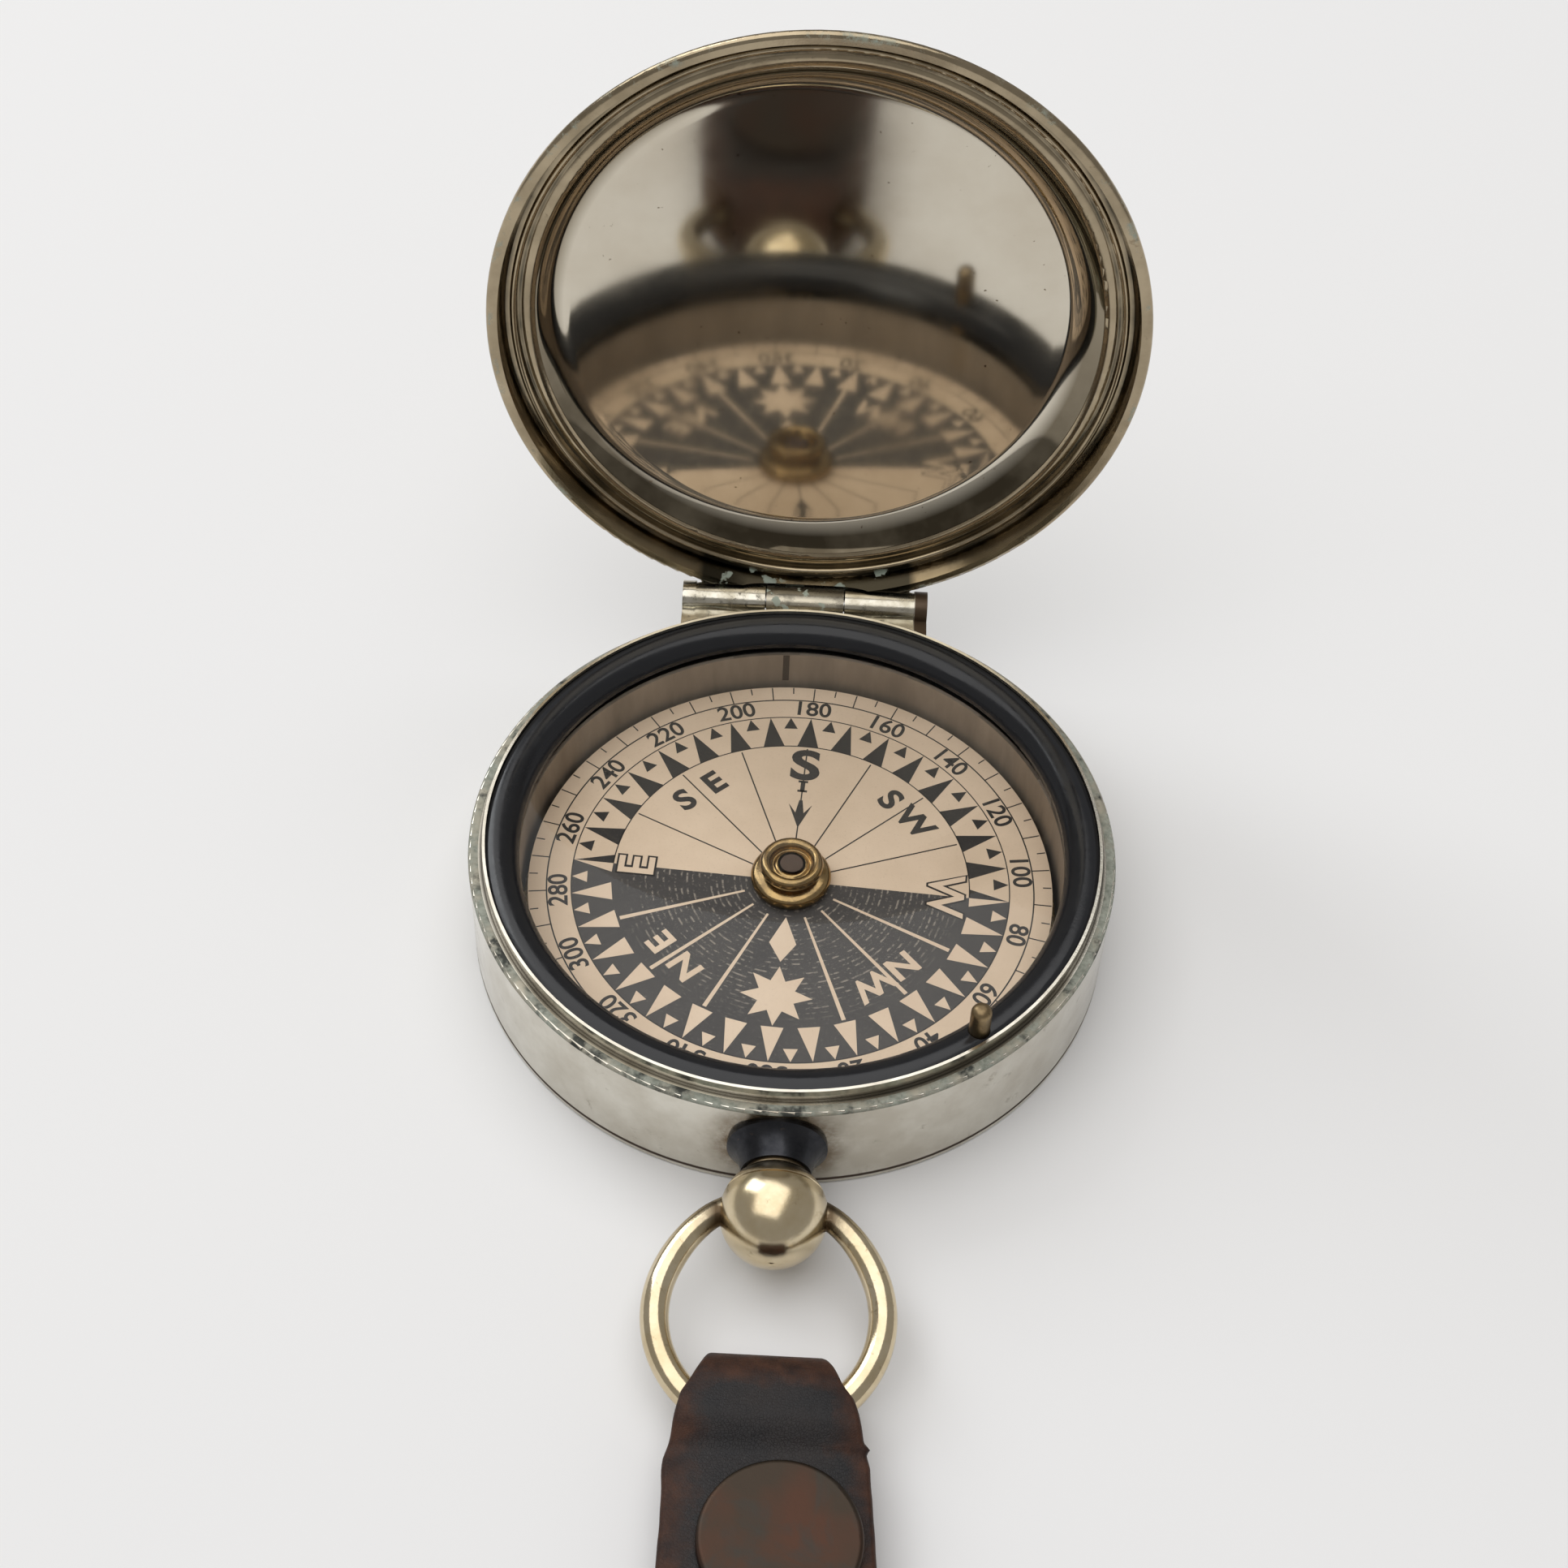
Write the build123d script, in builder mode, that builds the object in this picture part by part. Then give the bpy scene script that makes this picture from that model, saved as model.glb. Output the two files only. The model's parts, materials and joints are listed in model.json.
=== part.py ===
from build123d import *
import os
from math import asin, atan2, cos, degrees, radians, sin, sqrt, tan

# Pocket compass with a hinged lid, shown open: +Z up, origin on the case axis at the bottom face.
# X runs along the hinge, the pendant points to -Y. Sizes in millimetres, angles in degrees.

# Clearances
fit_gap = 0.03
run_gap = 0.05
pin_gap = 0.04
seat_gap = 0.05

# Case
case_radius = 22.5
case_wall = 1.0
lip_step = 1.0
lip_wall = 0.2
lip_height = 1.05
lip_bore_depth = 2.05
edge_round = 0.15
seam_bevel = 0.06
back_thickness = 0.55
skirt_wall = 0.6
skirt_height = 2.0

# Base plate, pivot and card
plate_thickness = 0.6
post_radius = 1.0
post_stem_radius = 0.7
needle_radius = 0.35
needle_cone = 1.1
card_gap = 0.5
card_clearance = 0.78
disc_thickness = 0.25
face_thickness = 0.15
card_heading = -3.5
magnet_length = 22.0
magnet_width = 1.8
magnet_thickness = 0.75
magnet_spacing = 10.0
rivet_radius = 0.3
rivet_spacing = 16.0
rivet_head = 0.15
hub_height = 2.35
hub_bulb_radius = 2.85
hub_waist_radius = 1.85
hub_flange_radius = 2.25
hub_hole_radius = 0.8
hub_stem_radius = 1.9
hub_bore_radius = 1.4
nut_radius = 3.0
nut_thickness = 0.6
jewel_radius = 1.0
jewel_thickness = 0.7

# Transit lock: plunger, lever and lifting collar
plunger_angle = -51.0
plunger_radius = 0.7
plunger_travel = 1.75
bush_wall = 0.12
bush_length = 4.0
bush_socket = 0.6
lever_width = 2.4
lever_thickness = 0.5
lever_overrun = 0.35
lever_side_gap = 0.3
fulcrum_reach = 6.5
fulcrum_radius = 0.2
fulcrum_boss = 0.4
fork_tip_reach = 1.6
fork_gap = 0.1
collar_radius = 2.9
collar_flange = 0.3
cheek_thickness = 0.5
bracket_length = 2.2
foot_width = 1.8
foot_thickness = 0.2
spring_thickness = 0.12
spring_reach = 2.3
screw_radius = 0.45
screw_head_radius = 0.75
screw_head = 0.3

# Glass and bezel
glass_gap = 0.1
glass_thickness = 0.9
liner_wall = 0.28
bezel_lap = 0.38
bezel_web = 0.07
bezel_flange = 0.35
bezel_height = 1.45
bezel_outer_drop = 0.2
bezel_skirt = 0.35
lip_proud = 0.1

# Lid
lid_angle = 96.5
lid_overhang = 0.6
rim_face = 0.8
rim_wall_height = 0.45
rim_round = 0.35
rim_bulge = 0.62
groove_height = 1.55
groove_lean = 0.4
bead_radius = 0.25
bead_inset = 0.15
valley_rise = 0.25
ridge_half_width = 0.45
ridge_height = 0.12
dome_thickness = 0.45
dome_sphere = 400.0
dish_wall = 2.4
dish_slope = 45.0
dish_lap = 12.0

# Hinge
hinge_offset = 0.1
knuckle_radius = 1.2
cheek_radius = 1.3
hinge_gap = 0.1
hinge_pin_radius = 0.5
middle_knuckle = 5.8
outer_knuckle = 5.2
end_cheek = 1.0
block_drop = 3.25
leaf_back = 1.0
leaf_thickness = 0.7
leaf_half_length = 8.0
leaf_flare = 1.4

# Pendant and bow
ball_radius = 3.5
ball_groove = 0.1
ball_groove_place = 1.35
neck_length = 1.55
neck_radius = 2.1
stem_radius = 1.2
pendant_collar_radius = 3.3
pendant_collar_nose = 2.3
pendant_collar_length = 2.05
pendant_collar_edge = 0.15
pendant_collar_sag = 0.22
pendant_nut_width = 3.4
pendant_nut_thickness = 1.0
bow_radius = 7.15
bow_offset = 6.75
wire_radius = 0.92
bow_pivot_radius = 0.7
bow_pivot_depth = 1.2
bow_ball_gap = 0.1

# Strap and its snap
leather = 1.0
loop_height = 3.2
loop_pivot_inset = 0.95
fold_reach = 3.55
snap_place = 12.55
snap_aside = 0.75
snap_gap = 2.2
flap_slope = 2.65
flap_length = 22.0
strap_length = 75.0
strap_lean = 0.045
fold_half_width = 4.75
fold_corner = 1.3
fold_corner_length = 2.6
shoulder_place = 3.6
shoulder_half_width = 5.4
mid_place = 7.5
mid_half_width = 6.3
end_half_width = 6.9
strap_hole_radius = 2.0
strap_hole_inset = 8.0
cap_radius = 4.95
cap_thickness = 0.8
cap_round = 0.35
cap_tube_radius = 1.6
socket_radius = 3.6
socket_roof = 0.4
stud_flange = 0.35
stud_head_radius = 1.8
stud_stem_radius = 1.0
snap_back_radius = 3.5
snap_back_thickness = 0.3

# Radii of the case, and of the bezel land that the plunger passes through
wall_inner = case_radius - case_wall
lip_radius = case_radius - lip_step
lip_inner = lip_radius - lip_wall
skirt_outer = wall_inner - fit_gap
skirt_inner = skirt_outer - skirt_wall
plate_radius = skirt_inner - fit_gap
bezel_outer = lip_inner - fit_gap
bush_radius = plunger_radius + pin_gap + bush_wall
plunger_reach = bezel_outer - bezel_web - bush_radius
glass_radius = plunger_reach - bush_radius - bezel_web - fit_gap
bezel_inner_radius = glass_radius - bezel_lap
liner_outer = glass_radius
liner_inner = liner_outer - liner_wall
card_radius = liner_inner - card_gap

# Lever geometry: the lever tilts by the same angle above and below level
base_top = back_thickness + plate_thickness
outer_arm = plunger_reach - fulcrum_reach
half_tilt = degrees(asin(plunger_travel / 2 / outer_arm))
tilt_slope = tan(radians(half_tilt))
lever_end = outer_arm + lever_overrun
fork_arm = fulcrum_reach - fork_tip_reach
collar_arm = fulcrum_reach - collar_radius
fork_length = fork_arm - bracket_length / 2 - fork_gap
lock_lift = (fork_arm + collar_arm) * tilt_slope + run_gap
lever_half = lever_thickness / 2
fork_floor = base_top + 2 * run_gap + lever_half + fork_arm * tilt_slope
end_floor = back_thickness + 2 * run_gap + lever_half + lever_end * tilt_slope
boss_floor = base_top + foot_thickness + run_gap + fulcrum_boss
fulcrum_height = max(fork_floor, end_floor, boss_floor)
lever_top = fulcrum_height + lever_half / cos(radians(half_tilt))

# Heights of the stack above the lever
card_bottom = lever_top + (card_radius - fulcrum_reach) * tilt_slope + card_clearance
card_top = card_bottom + disc_thickness + face_thickness
hub_top = card_top + hub_height
glass_bottom = hub_top + lock_lift + glass_gap
glass_top = glass_bottom + glass_thickness
bezel_crown = glass_top + bezel_height
bezel_under = glass_top - bezel_skirt
lip_top = bezel_crown + lip_proud
ledge_height = lip_top - lip_height

# Lid heights and radii, with the lid closed
lid_radius = case_radius + lid_overhang
lid_bottom = ledge_height + seat_gap
rim_wall = lid_radius - rim_face
bead_root = lid_bottom + groove_height
bead_place = lip_radius - bead_inset
valley_top = bead_root + valley_rise
ridge_crest = valley_top - ridge_height
dish_radius = plunger_reach - ridge_half_width - run_gap
dome_radius = dish_radius - dish_wall
hinge_y = lid_radius + hinge_offset
hinge_z = ledge_height
hinge_room = cheek_radius + hinge_gap
hinge_half = middle_knuckle / 2 + hinge_gap + outer_knuckle + end_cheek

# Plunger heights
plunger_top = ridge_crest - 2 * run_gap + plunger_travel
plunger_bottom = lever_top + lever_end * tilt_slope + run_gap

# Pendant, bow and strap places
pendant_z = (back_thickness + ledge_height) / 2
ball_y = -(case_radius + neck_length + ball_radius)
loop_z = leather + loop_height / 2
bow_swing_arm = bow_offset + bow_radius - loop_pivot_inset
bow_drop = degrees(asin((pendant_z - loop_z) / bow_swing_arm))
loop_y = ball_y - bow_swing_arm * cos(radians(bow_drop))
fold_front = loop_y + fold_reach
snap_y = fold_front - snap_place
snap_x = strap_lean * snap_place + snap_aside
upper_layer = leather + snap_gap
upper_top = upper_layer + leather

# Planes: the lid's own frame matches the case frame when the lid is closed
lid_up = (0, sin(radians(lid_angle)), cos(radians(lid_angle)))
lid_hinge = Plane(origin=(0, hinge_y, hinge_z), x_dir=(1, 0, 0), z_dir=lid_up)
lid_origin = lid_hinge.origin - lid_hinge.y_dir * hinge_y - lid_hinge.z_dir * hinge_z
lid_frame = Plane(origin=lid_origin, x_dir=(1, 0, 0), z_dir=lid_up)
lid_section = Plane(origin=lid_frame.origin, x_dir=lid_frame.x_dir, z_dir=-lid_frame.y_dir)
lid_axis = Axis(lid_frame.origin, lid_frame.z_dir)
lever_out = Vector(cos(radians(plunger_angle)), sin(radians(plunger_angle)), 0)
lever_side = Vector(-lever_out.Y, lever_out.X, 0)
lever_along = lever_out * cos(radians(half_tilt)) + Vector(0, 0, sin(radians(half_tilt)))
fulcrum_point = lever_out * fulcrum_reach + Vector(0, 0, fulcrum_height)
lever_plane = Plane(origin=fulcrum_point, x_dir=lever_along, z_dir=lever_along.cross(lever_side))
fulcrum_line = Plane(origin=fulcrum_point, x_dir=lever_out, z_dir=lever_side)
radial_plane = Plane(origin=(0, 0, 0), x_dir=lever_out, z_dir=(0, 0, 1))
plunger_plane = Plane(origin=lever_out * plunger_reach, x_dir=lever_out, z_dir=(0, 0, 1))
card_plane = Plane(origin=(0, 0, 0), x_dir=(cos(radians(card_heading)), sin(radians(card_heading)), 0))
pendant_plane = Plane(origin=(0, 0, pendant_z), x_dir=(1, 0, 0), z_dir=(0, 0, 1))
bow_up = (0, -sin(radians(bow_drop)), cos(radians(bow_drop)))
bow_plane = Plane(origin=(0, ball_y, pendant_z), x_dir=(1, 0, 0), z_dir=bow_up)
hinge_line = Plane(origin=(0, hinge_y, hinge_z), x_dir=(0, 1, 0), z_dir=(1, 0, 0))
lid_hinge_line = Plane(origin=(0, hinge_y, hinge_z), x_dir=lid_hinge.y_dir, z_dir=(1, 0, 0))


# Lid dish: a shallow bowl that turns into a round wall, both taken as angles from the lid axis
dome_angle = degrees(asin(dome_radius / dome_sphere))
dish_round = dish_wall / (sin(radians(dish_slope)) - sin(radians(dome_angle)))
dish_centre = dome_radius - dish_round * sin(radians(dome_angle))
dish_level = valley_top - dish_round * cos(radians(dish_slope))
dome_level = dish_level - (dome_sphere - dish_round) * cos(radians(dome_angle))


def dish_point(angle, out):
    reach = dish_round + out
    return (dish_centre + reach * sin(radians(angle)), dish_level + reach * cos(radians(angle)))


def dome_point(angle, out):
    reach = dome_sphere + out
    return (reach * sin(radians(angle)), dome_level + reach * cos(radians(angle)))


def arc_middle(start, end, bulge):
    across = Vector(*end) - Vector(*start)
    middle = Vector(*start) + across / 2
    return middle + Vector(across.Y, -across.X).normalized() * bulge


def strap_edge(side):
    rows = (
        (0, fold_half_width - fold_corner),
        (fold_corner_length, fold_half_width),
        (shoulder_place, shoulder_half_width),
        (mid_place, mid_half_width),
        (flap_length, end_half_width),
        (strap_length - end_half_width, end_half_width),
    )
    return [(strap_lean * along + side * half, fold_front - along) for along, half in rows]


# Case: drum wall with ledge and lip, room for the middle knuckle, hole for the pendant stem
with BuildPart() as case_body:
    with BuildSketch(Plane.XZ):
        with BuildLine():
            Polyline(
                (wall_inner, back_thickness),
                (case_radius, back_thickness),
                (case_radius, ledge_height),
                (lip_radius, ledge_height),
                (lip_radius, lip_top),
                (lip_inner, lip_top),
                (lip_inner, lip_top - lip_bore_depth),
                (wall_inner, lip_top - lip_bore_depth),
                close=True,
            )
        make_face()
    revolve(axis=Axis.Z)
    round_edges = case_body.edges().filter_by(GeomType.CIRCLE)
    outer_edges = round_edges.filter_by(lambda e: e.radius > case_radius - edge_round).sort_by(Axis.Z)
    fillet(outer_edges[-1], edge_round)
    chamfer(outer_edges[0], seam_bevel)
    with BuildSketch(hinge_line):
        Circle(knuckle_radius + hinge_gap)
    extrude(amount=middle_knuckle / 2 + hinge_gap, both=True, mode=Mode.SUBTRACT)
    with BuildSketch(Plane.XZ.offset(wall_inner - case_wall)):
        with Locations((0, pendant_z)):
            Circle(stem_radius + pin_gap)
    extrude(amount=3 * case_wall, mode=Mode.SUBTRACT)

# Back cap, its skirt open beside the plunger
gate_width = lever_width + 2 * lever_side_gap
with BuildPart() as case_back:
    with BuildSketch():
        Circle(case_radius)
    extrude(amount=back_thickness)
    chamfer(case_back.edges().sort_by(Axis.Z)[-1], seam_bevel)
    fillet(case_back.edges().sort_by(Axis.Z)[0], edge_round)
    with BuildSketch(Plane.XY.offset(back_thickness)):
        Circle(skirt_outer)
        Circle(skirt_inner, mode=Mode.SUBTRACT)
    extrude(amount=skirt_height)
    with BuildSketch(radial_plane.offset(back_thickness)):
        with Locations((plunger_reach, 0)):
            Rectangle(2 * case_wall, gate_width, align=(Align.MIN, Align.CENTER))
    extrude(amount=skirt_height, mode=Mode.SUBTRACT)

with BuildPart() as bezel_ring:
    with BuildSketch(Plane.XZ):
        with BuildLine():
            Polyline(
                (bezel_outer, bezel_crown - bezel_outer_drop),
                (bezel_outer, bezel_under),
                (glass_radius + fit_gap, bezel_under),
                (glass_radius + fit_gap, glass_top),
                (bezel_inner_radius, glass_top),
                (bezel_inner_radius, glass_top + bezel_flange),
            )
            ThreePointArc(
                (bezel_inner_radius, glass_top + bezel_flange),
                (plunger_reach, bezel_crown),
                (bezel_outer, bezel_crown - bezel_outer_drop),
            )
        make_face()
    revolve(axis=Axis.Z)
    with BuildSketch(plunger_plane.offset(bezel_under)):
        Circle(plunger_radius + pin_gap)
    extrude(amount=bezel_height + bezel_skirt + lip_height, mode=Mode.SUBTRACT)
    with BuildSketch(plunger_plane.offset(bezel_under)):
        Circle(bush_radius)
    extrude(amount=bush_socket, mode=Mode.SUBTRACT)

with BuildPart() as cover_glass:
    with BuildSketch(Plane.XY.offset(glass_bottom)):
        Circle(glass_radius)
    extrude(amount=glass_thickness)

# Liner with a gate at its foot for the lever
gate_height = lever_top + (lever_end + lever_half) * tilt_slope + run_gap
with BuildPart() as liner_ring:
    with BuildSketch(Plane.XY.offset(base_top)):
        Circle(liner_outer)
        Circle(liner_inner, mode=Mode.SUBTRACT)
    extrude(amount=glass_bottom - base_top)
    with BuildSketch(radial_plane):
        with Locations((liner_inner, 0)):
            Rectangle(4 * liner_wall + 1, gate_width)
    extrude(amount=gate_height, mode=Mode.SUBTRACT)

# Base plate, with a slot that lets the lever's outer end sink
slot_start = fulcrum_reach + (fulcrum_height - lever_half - base_top - 2 * run_gap) / tilt_slope - 1
with BuildPart() as base_plate:
    with BuildSketch(Plane.XY.offset(back_thickness)):
        Circle(plate_radius)
        Circle(post_stem_radius, mode=Mode.SUBTRACT)
    extrude(amount=plate_thickness)
    with BuildSketch(radial_plane.offset(back_thickness)):
        with Locations((slot_start, 0)):
            Rectangle(plate_radius, gate_width, align=(Align.MIN, Align.CENTER))
    extrude(amount=plate_thickness, mode=Mode.SUBTRACT)

# Pivot: post with a shouldered stem in the plate, needle standing in its bore
jewel_top = hub_top - jewel_thickness / 2
needle_tip = jewel_top - jewel_thickness / 2
post_top = card_bottom
needle_foot = post_top - 2 * needle_cone
with BuildPart() as pivot_post:
    with BuildSketch(Plane.XY.offset(back_thickness)):
        Circle(post_stem_radius)
    extrude(amount=plate_thickness)
    with BuildSketch(Plane.XY.offset(base_top)):
        Circle(post_radius)
    extrude(amount=post_top - base_top)
    with BuildSketch(Plane.XY.offset(needle_foot)):
        Circle(needle_radius)
    extrude(amount=post_top, mode=Mode.SUBTRACT)

with BuildPart() as pivot_needle:
    with BuildSketch(Plane.XZ):
        with BuildLine():
            Polyline(
                (0, needle_foot),
                (needle_radius, needle_foot),
                (needle_radius, needle_tip - needle_cone),
                (0, needle_tip - run_gap),
                close=True,
            )
        make_face()
    revolve(axis=Axis.Z)

# Card: printed face on a stiff disc, magnets and rivets below, hub, nut and jewel
with BuildPart() as card_face:
    with BuildSketch(Plane.XY.offset(card_bottom + disc_thickness)):
        Circle(card_radius)
        Circle(hub_stem_radius + fit_gap, mode=Mode.SUBTRACT)
    extrude(amount=face_thickness)

rivet_places = [(side * magnet_spacing / 2, end * rivet_spacing / 2) for side in (-1, 1) for end in (-1, 1)]
with BuildPart() as card_disc:
    with BuildSketch(card_plane.offset(card_bottom)):
        Circle(card_radius)
        Circle(hub_stem_radius + fit_gap, mode=Mode.SUBTRACT)
        with Locations(*rivet_places):
            Circle(rivet_radius, mode=Mode.SUBTRACT)
    extrude(amount=disc_thickness)

with BuildPart() as magnet_left:
    with BuildSketch(card_plane.offset(card_bottom)):
        with Locations((-magnet_spacing / 2, 0)):
            Rectangle(magnet_width, magnet_length)
        with Locations(*rivet_places[:2]):
            Circle(rivet_radius, mode=Mode.SUBTRACT)
    extrude(amount=-magnet_thickness)

with BuildPart() as magnet_right:
    with BuildSketch(card_plane.offset(card_bottom)):
        with Locations((magnet_spacing / 2, 0)):
            Rectangle(magnet_width, magnet_length)
        with Locations(*rivet_places[2:]):
            Circle(rivet_radius, mode=Mode.SUBTRACT)
    extrude(amount=-magnet_thickness)

with BuildPart() as magnet_rivets:
    with BuildSketch(card_plane.offset(card_bottom + disc_thickness)):
        with Locations(*rivet_places):
            Circle(rivet_radius)
    extrude(amount=-(disc_thickness + magnet_thickness))
    with BuildSketch(card_plane.offset(card_bottom - magnet_thickness)):
        with Locations(*rivet_places):
            Circle(1.8 * rivet_radius)
    extrude(amount=-rivet_head)

hub_bottom = card_bottom - nut_thickness
bulb_mid = card_top + 0.28 * hub_height
waist_mid = card_top + 0.58 * hub_height
flange_mid = card_top + 0.82 * hub_height
jewel_seat = jewel_top - jewel_thickness
with BuildPart() as card_cap:
    with BuildSketch(Plane.XZ):
        with BuildLine():
            Polyline(
                (hub_waist_radius, waist_mid),
                (hub_waist_radius, card_top + 0.52 * hub_height),
            )
            ThreePointArc(
                (hub_waist_radius, card_top + 0.52 * hub_height),
                (hub_bulb_radius, bulb_mid),
                (0.9 * hub_bulb_radius, card_top),
            )
            Polyline(
                (0.9 * hub_bulb_radius, card_top),
                (hub_stem_radius, card_top),
                (hub_stem_radius, hub_bottom),
                (hub_bore_radius, hub_bottom),
                (hub_bore_radius, jewel_seat - jewel_thickness),
                (jewel_radius, jewel_seat - jewel_thickness),
                (jewel_radius, jewel_top),
                (hub_hole_radius, jewel_top),
                (hub_hole_radius, hub_top),
                (0.75 * hub_flange_radius, hub_top),
            )
            ThreePointArc(
                (0.75 * hub_flange_radius, hub_top),
                (hub_flange_radius, flange_mid),
                (hub_waist_radius, waist_mid),
            )
        make_face()
    revolve(axis=Axis.Z)

with BuildPart() as cap_jewel:
    with BuildSketch(Plane.XZ):
        with BuildLine():
            Polyline(
                (0, needle_tip),
                (0.8 * jewel_radius, jewel_seat),
                (jewel_radius, jewel_seat),
                (jewel_radius, jewel_top),
                (0, jewel_top),
                close=True,
            )
        make_face()
    revolve(axis=Axis.Z)

with BuildPart() as cap_nut:
    with BuildSketch(card_plane.offset(hub_bottom)):
        RegularPolygon(nut_radius, 6)
        Circle(hub_stem_radius, mode=Mode.SUBTRACT)
    extrude(amount=nut_thickness)

# Transit lock
collar_bottom = lever_top - collar_arm * tilt_slope + run_gap / 2
collar_inner = post_radius + pin_gap
with BuildPart() as lift_collar:
    with BuildSketch(Plane.XY.offset(collar_bottom)):
        Circle(collar_radius)
        Circle(collar_inner, mode=Mode.SUBTRACT)
    extrude(amount=collar_flange)
    with BuildSketch(Plane.XY.offset(collar_bottom + collar_flange)):
        Circle(hub_stem_radius)
        Circle(collar_inner, mode=Mode.SUBTRACT)
    extrude(amount=hub_bottom - run_gap / 2 - collar_bottom - collar_flange)

with BuildPart() as lock_plunger:
    with BuildSketch(plunger_plane.offset(plunger_bottom)):
        Circle(plunger_radius)
    extrude(amount=plunger_top - plunger_bottom)
    fillet(lock_plunger.edges().sort_by(Axis.Z)[-1], 0.8 * plunger_radius)
    fillet(lock_plunger.edges().sort_by(Axis.Z)[0], 0.4 * plunger_radius)

bush_top = bezel_under + bush_socket
with BuildPart() as plunger_bush:
    with BuildSketch(plunger_plane.offset(bush_top)):
        Circle(bush_radius)
        Circle(plunger_radius + pin_gap, mode=Mode.SUBTRACT)
    extrude(amount=-bush_length)

fork_slot = 2 * (post_radius + lever_side_gap)
fork_width = 2 * collar_radius
with BuildPart() as lock_lever:
    with BuildSketch(lever_plane.offset(-lever_half)):
        with Locations((-collar_arm, 0)):
            Rectangle(lever_end + collar_arm, lever_width, align=(Align.MIN, Align.CENTER))
        with Locations((-fork_arm, 0)):
            Rectangle(fork_length, fork_width, align=(Align.MIN, Align.CENTER))
            Rectangle(
                fork_arm - collar_arm + lever_half,
                fork_slot,
                align=(Align.MIN, Align.CENTER),
                mode=Mode.SUBTRACT,
            )
    extrude(amount=lever_thickness)
    with BuildSketch(fulcrum_line):
        Circle(fulcrum_boss)
    extrude(amount=lever_width / 2, both=True)
    with BuildSketch(fulcrum_line):
        Circle(fulcrum_radius + pin_gap)
    extrude(amount=fork_width, both=True, mode=Mode.SUBTRACT)

cheek_place = lever_width / 2 + lever_side_gap + cheek_thickness / 2
cheek_height = fulcrum_height + fulcrum_boss + run_gap - base_top
foot_place = cheek_place + cheek_thickness / 2 + foot_width / 2
with BuildPart() as lever_bracket:
    with BuildSketch(radial_plane.offset(base_top)):
        with Locations((fulcrum_reach, cheek_place), (fulcrum_reach, -cheek_place)):
            Rectangle(bracket_length, cheek_thickness)
    extrude(amount=cheek_height)
    with BuildSketch(radial_plane.offset(base_top)):
        with Locations((fulcrum_reach, 0)):
            Rectangle(bracket_length, 2 * foot_place + foot_width)
        with Locations((fulcrum_reach, foot_place), (fulcrum_reach, -foot_place)):
            Circle(screw_radius, mode=Mode.SUBTRACT)
    extrude(amount=foot_thickness)
    with BuildSketch(fulcrum_line):
        Circle(fulcrum_radius)
    extrude(amount=foot_place, both=True, mode=Mode.SUBTRACT)

with BuildPart() as fulcrum_pin:
    with BuildSketch(fulcrum_line):
        Circle(fulcrum_radius)
    extrude(amount=cheek_place + cheek_thickness / 2, both=True)

with BuildPart() as bracket_screws:
    with BuildSketch(radial_plane.offset(base_top)):
        with Locations((fulcrum_reach, foot_place), (fulcrum_reach, -foot_place)):
            Circle(screw_radius)
    extrude(amount=foot_thickness)
    with BuildSketch(radial_plane.offset(base_top + foot_thickness)):
        with Locations((fulcrum_reach, foot_place), (fulcrum_reach, -foot_place)):
            Circle(screw_head_radius)
            Rectangle(2 * screw_head_radius, screw_radius / 2, mode=Mode.SUBTRACT)
    extrude(amount=screw_head)
    with BuildSketch(radial_plane.offset(base_top + foot_thickness)):
        with Locations((fulcrum_reach, foot_place), (fulcrum_reach, -foot_place)):
            Circle(screw_head_radius)
    extrude(amount=screw_head / 2)

with BuildPart() as lever_spring:
    with BuildSketch(radial_plane.offset(base_top + cheek_height)):
        with Locations((fulcrum_reach, 0)):
            Rectangle(bracket_length, 2 * cheek_place + cheek_thickness)
        with Locations((fulcrum_reach - spring_reach, 0)):
            Rectangle(spring_reach, lever_width, align=(Align.MIN, Align.CENTER))
    extrude(amount=spring_thickness)

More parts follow.
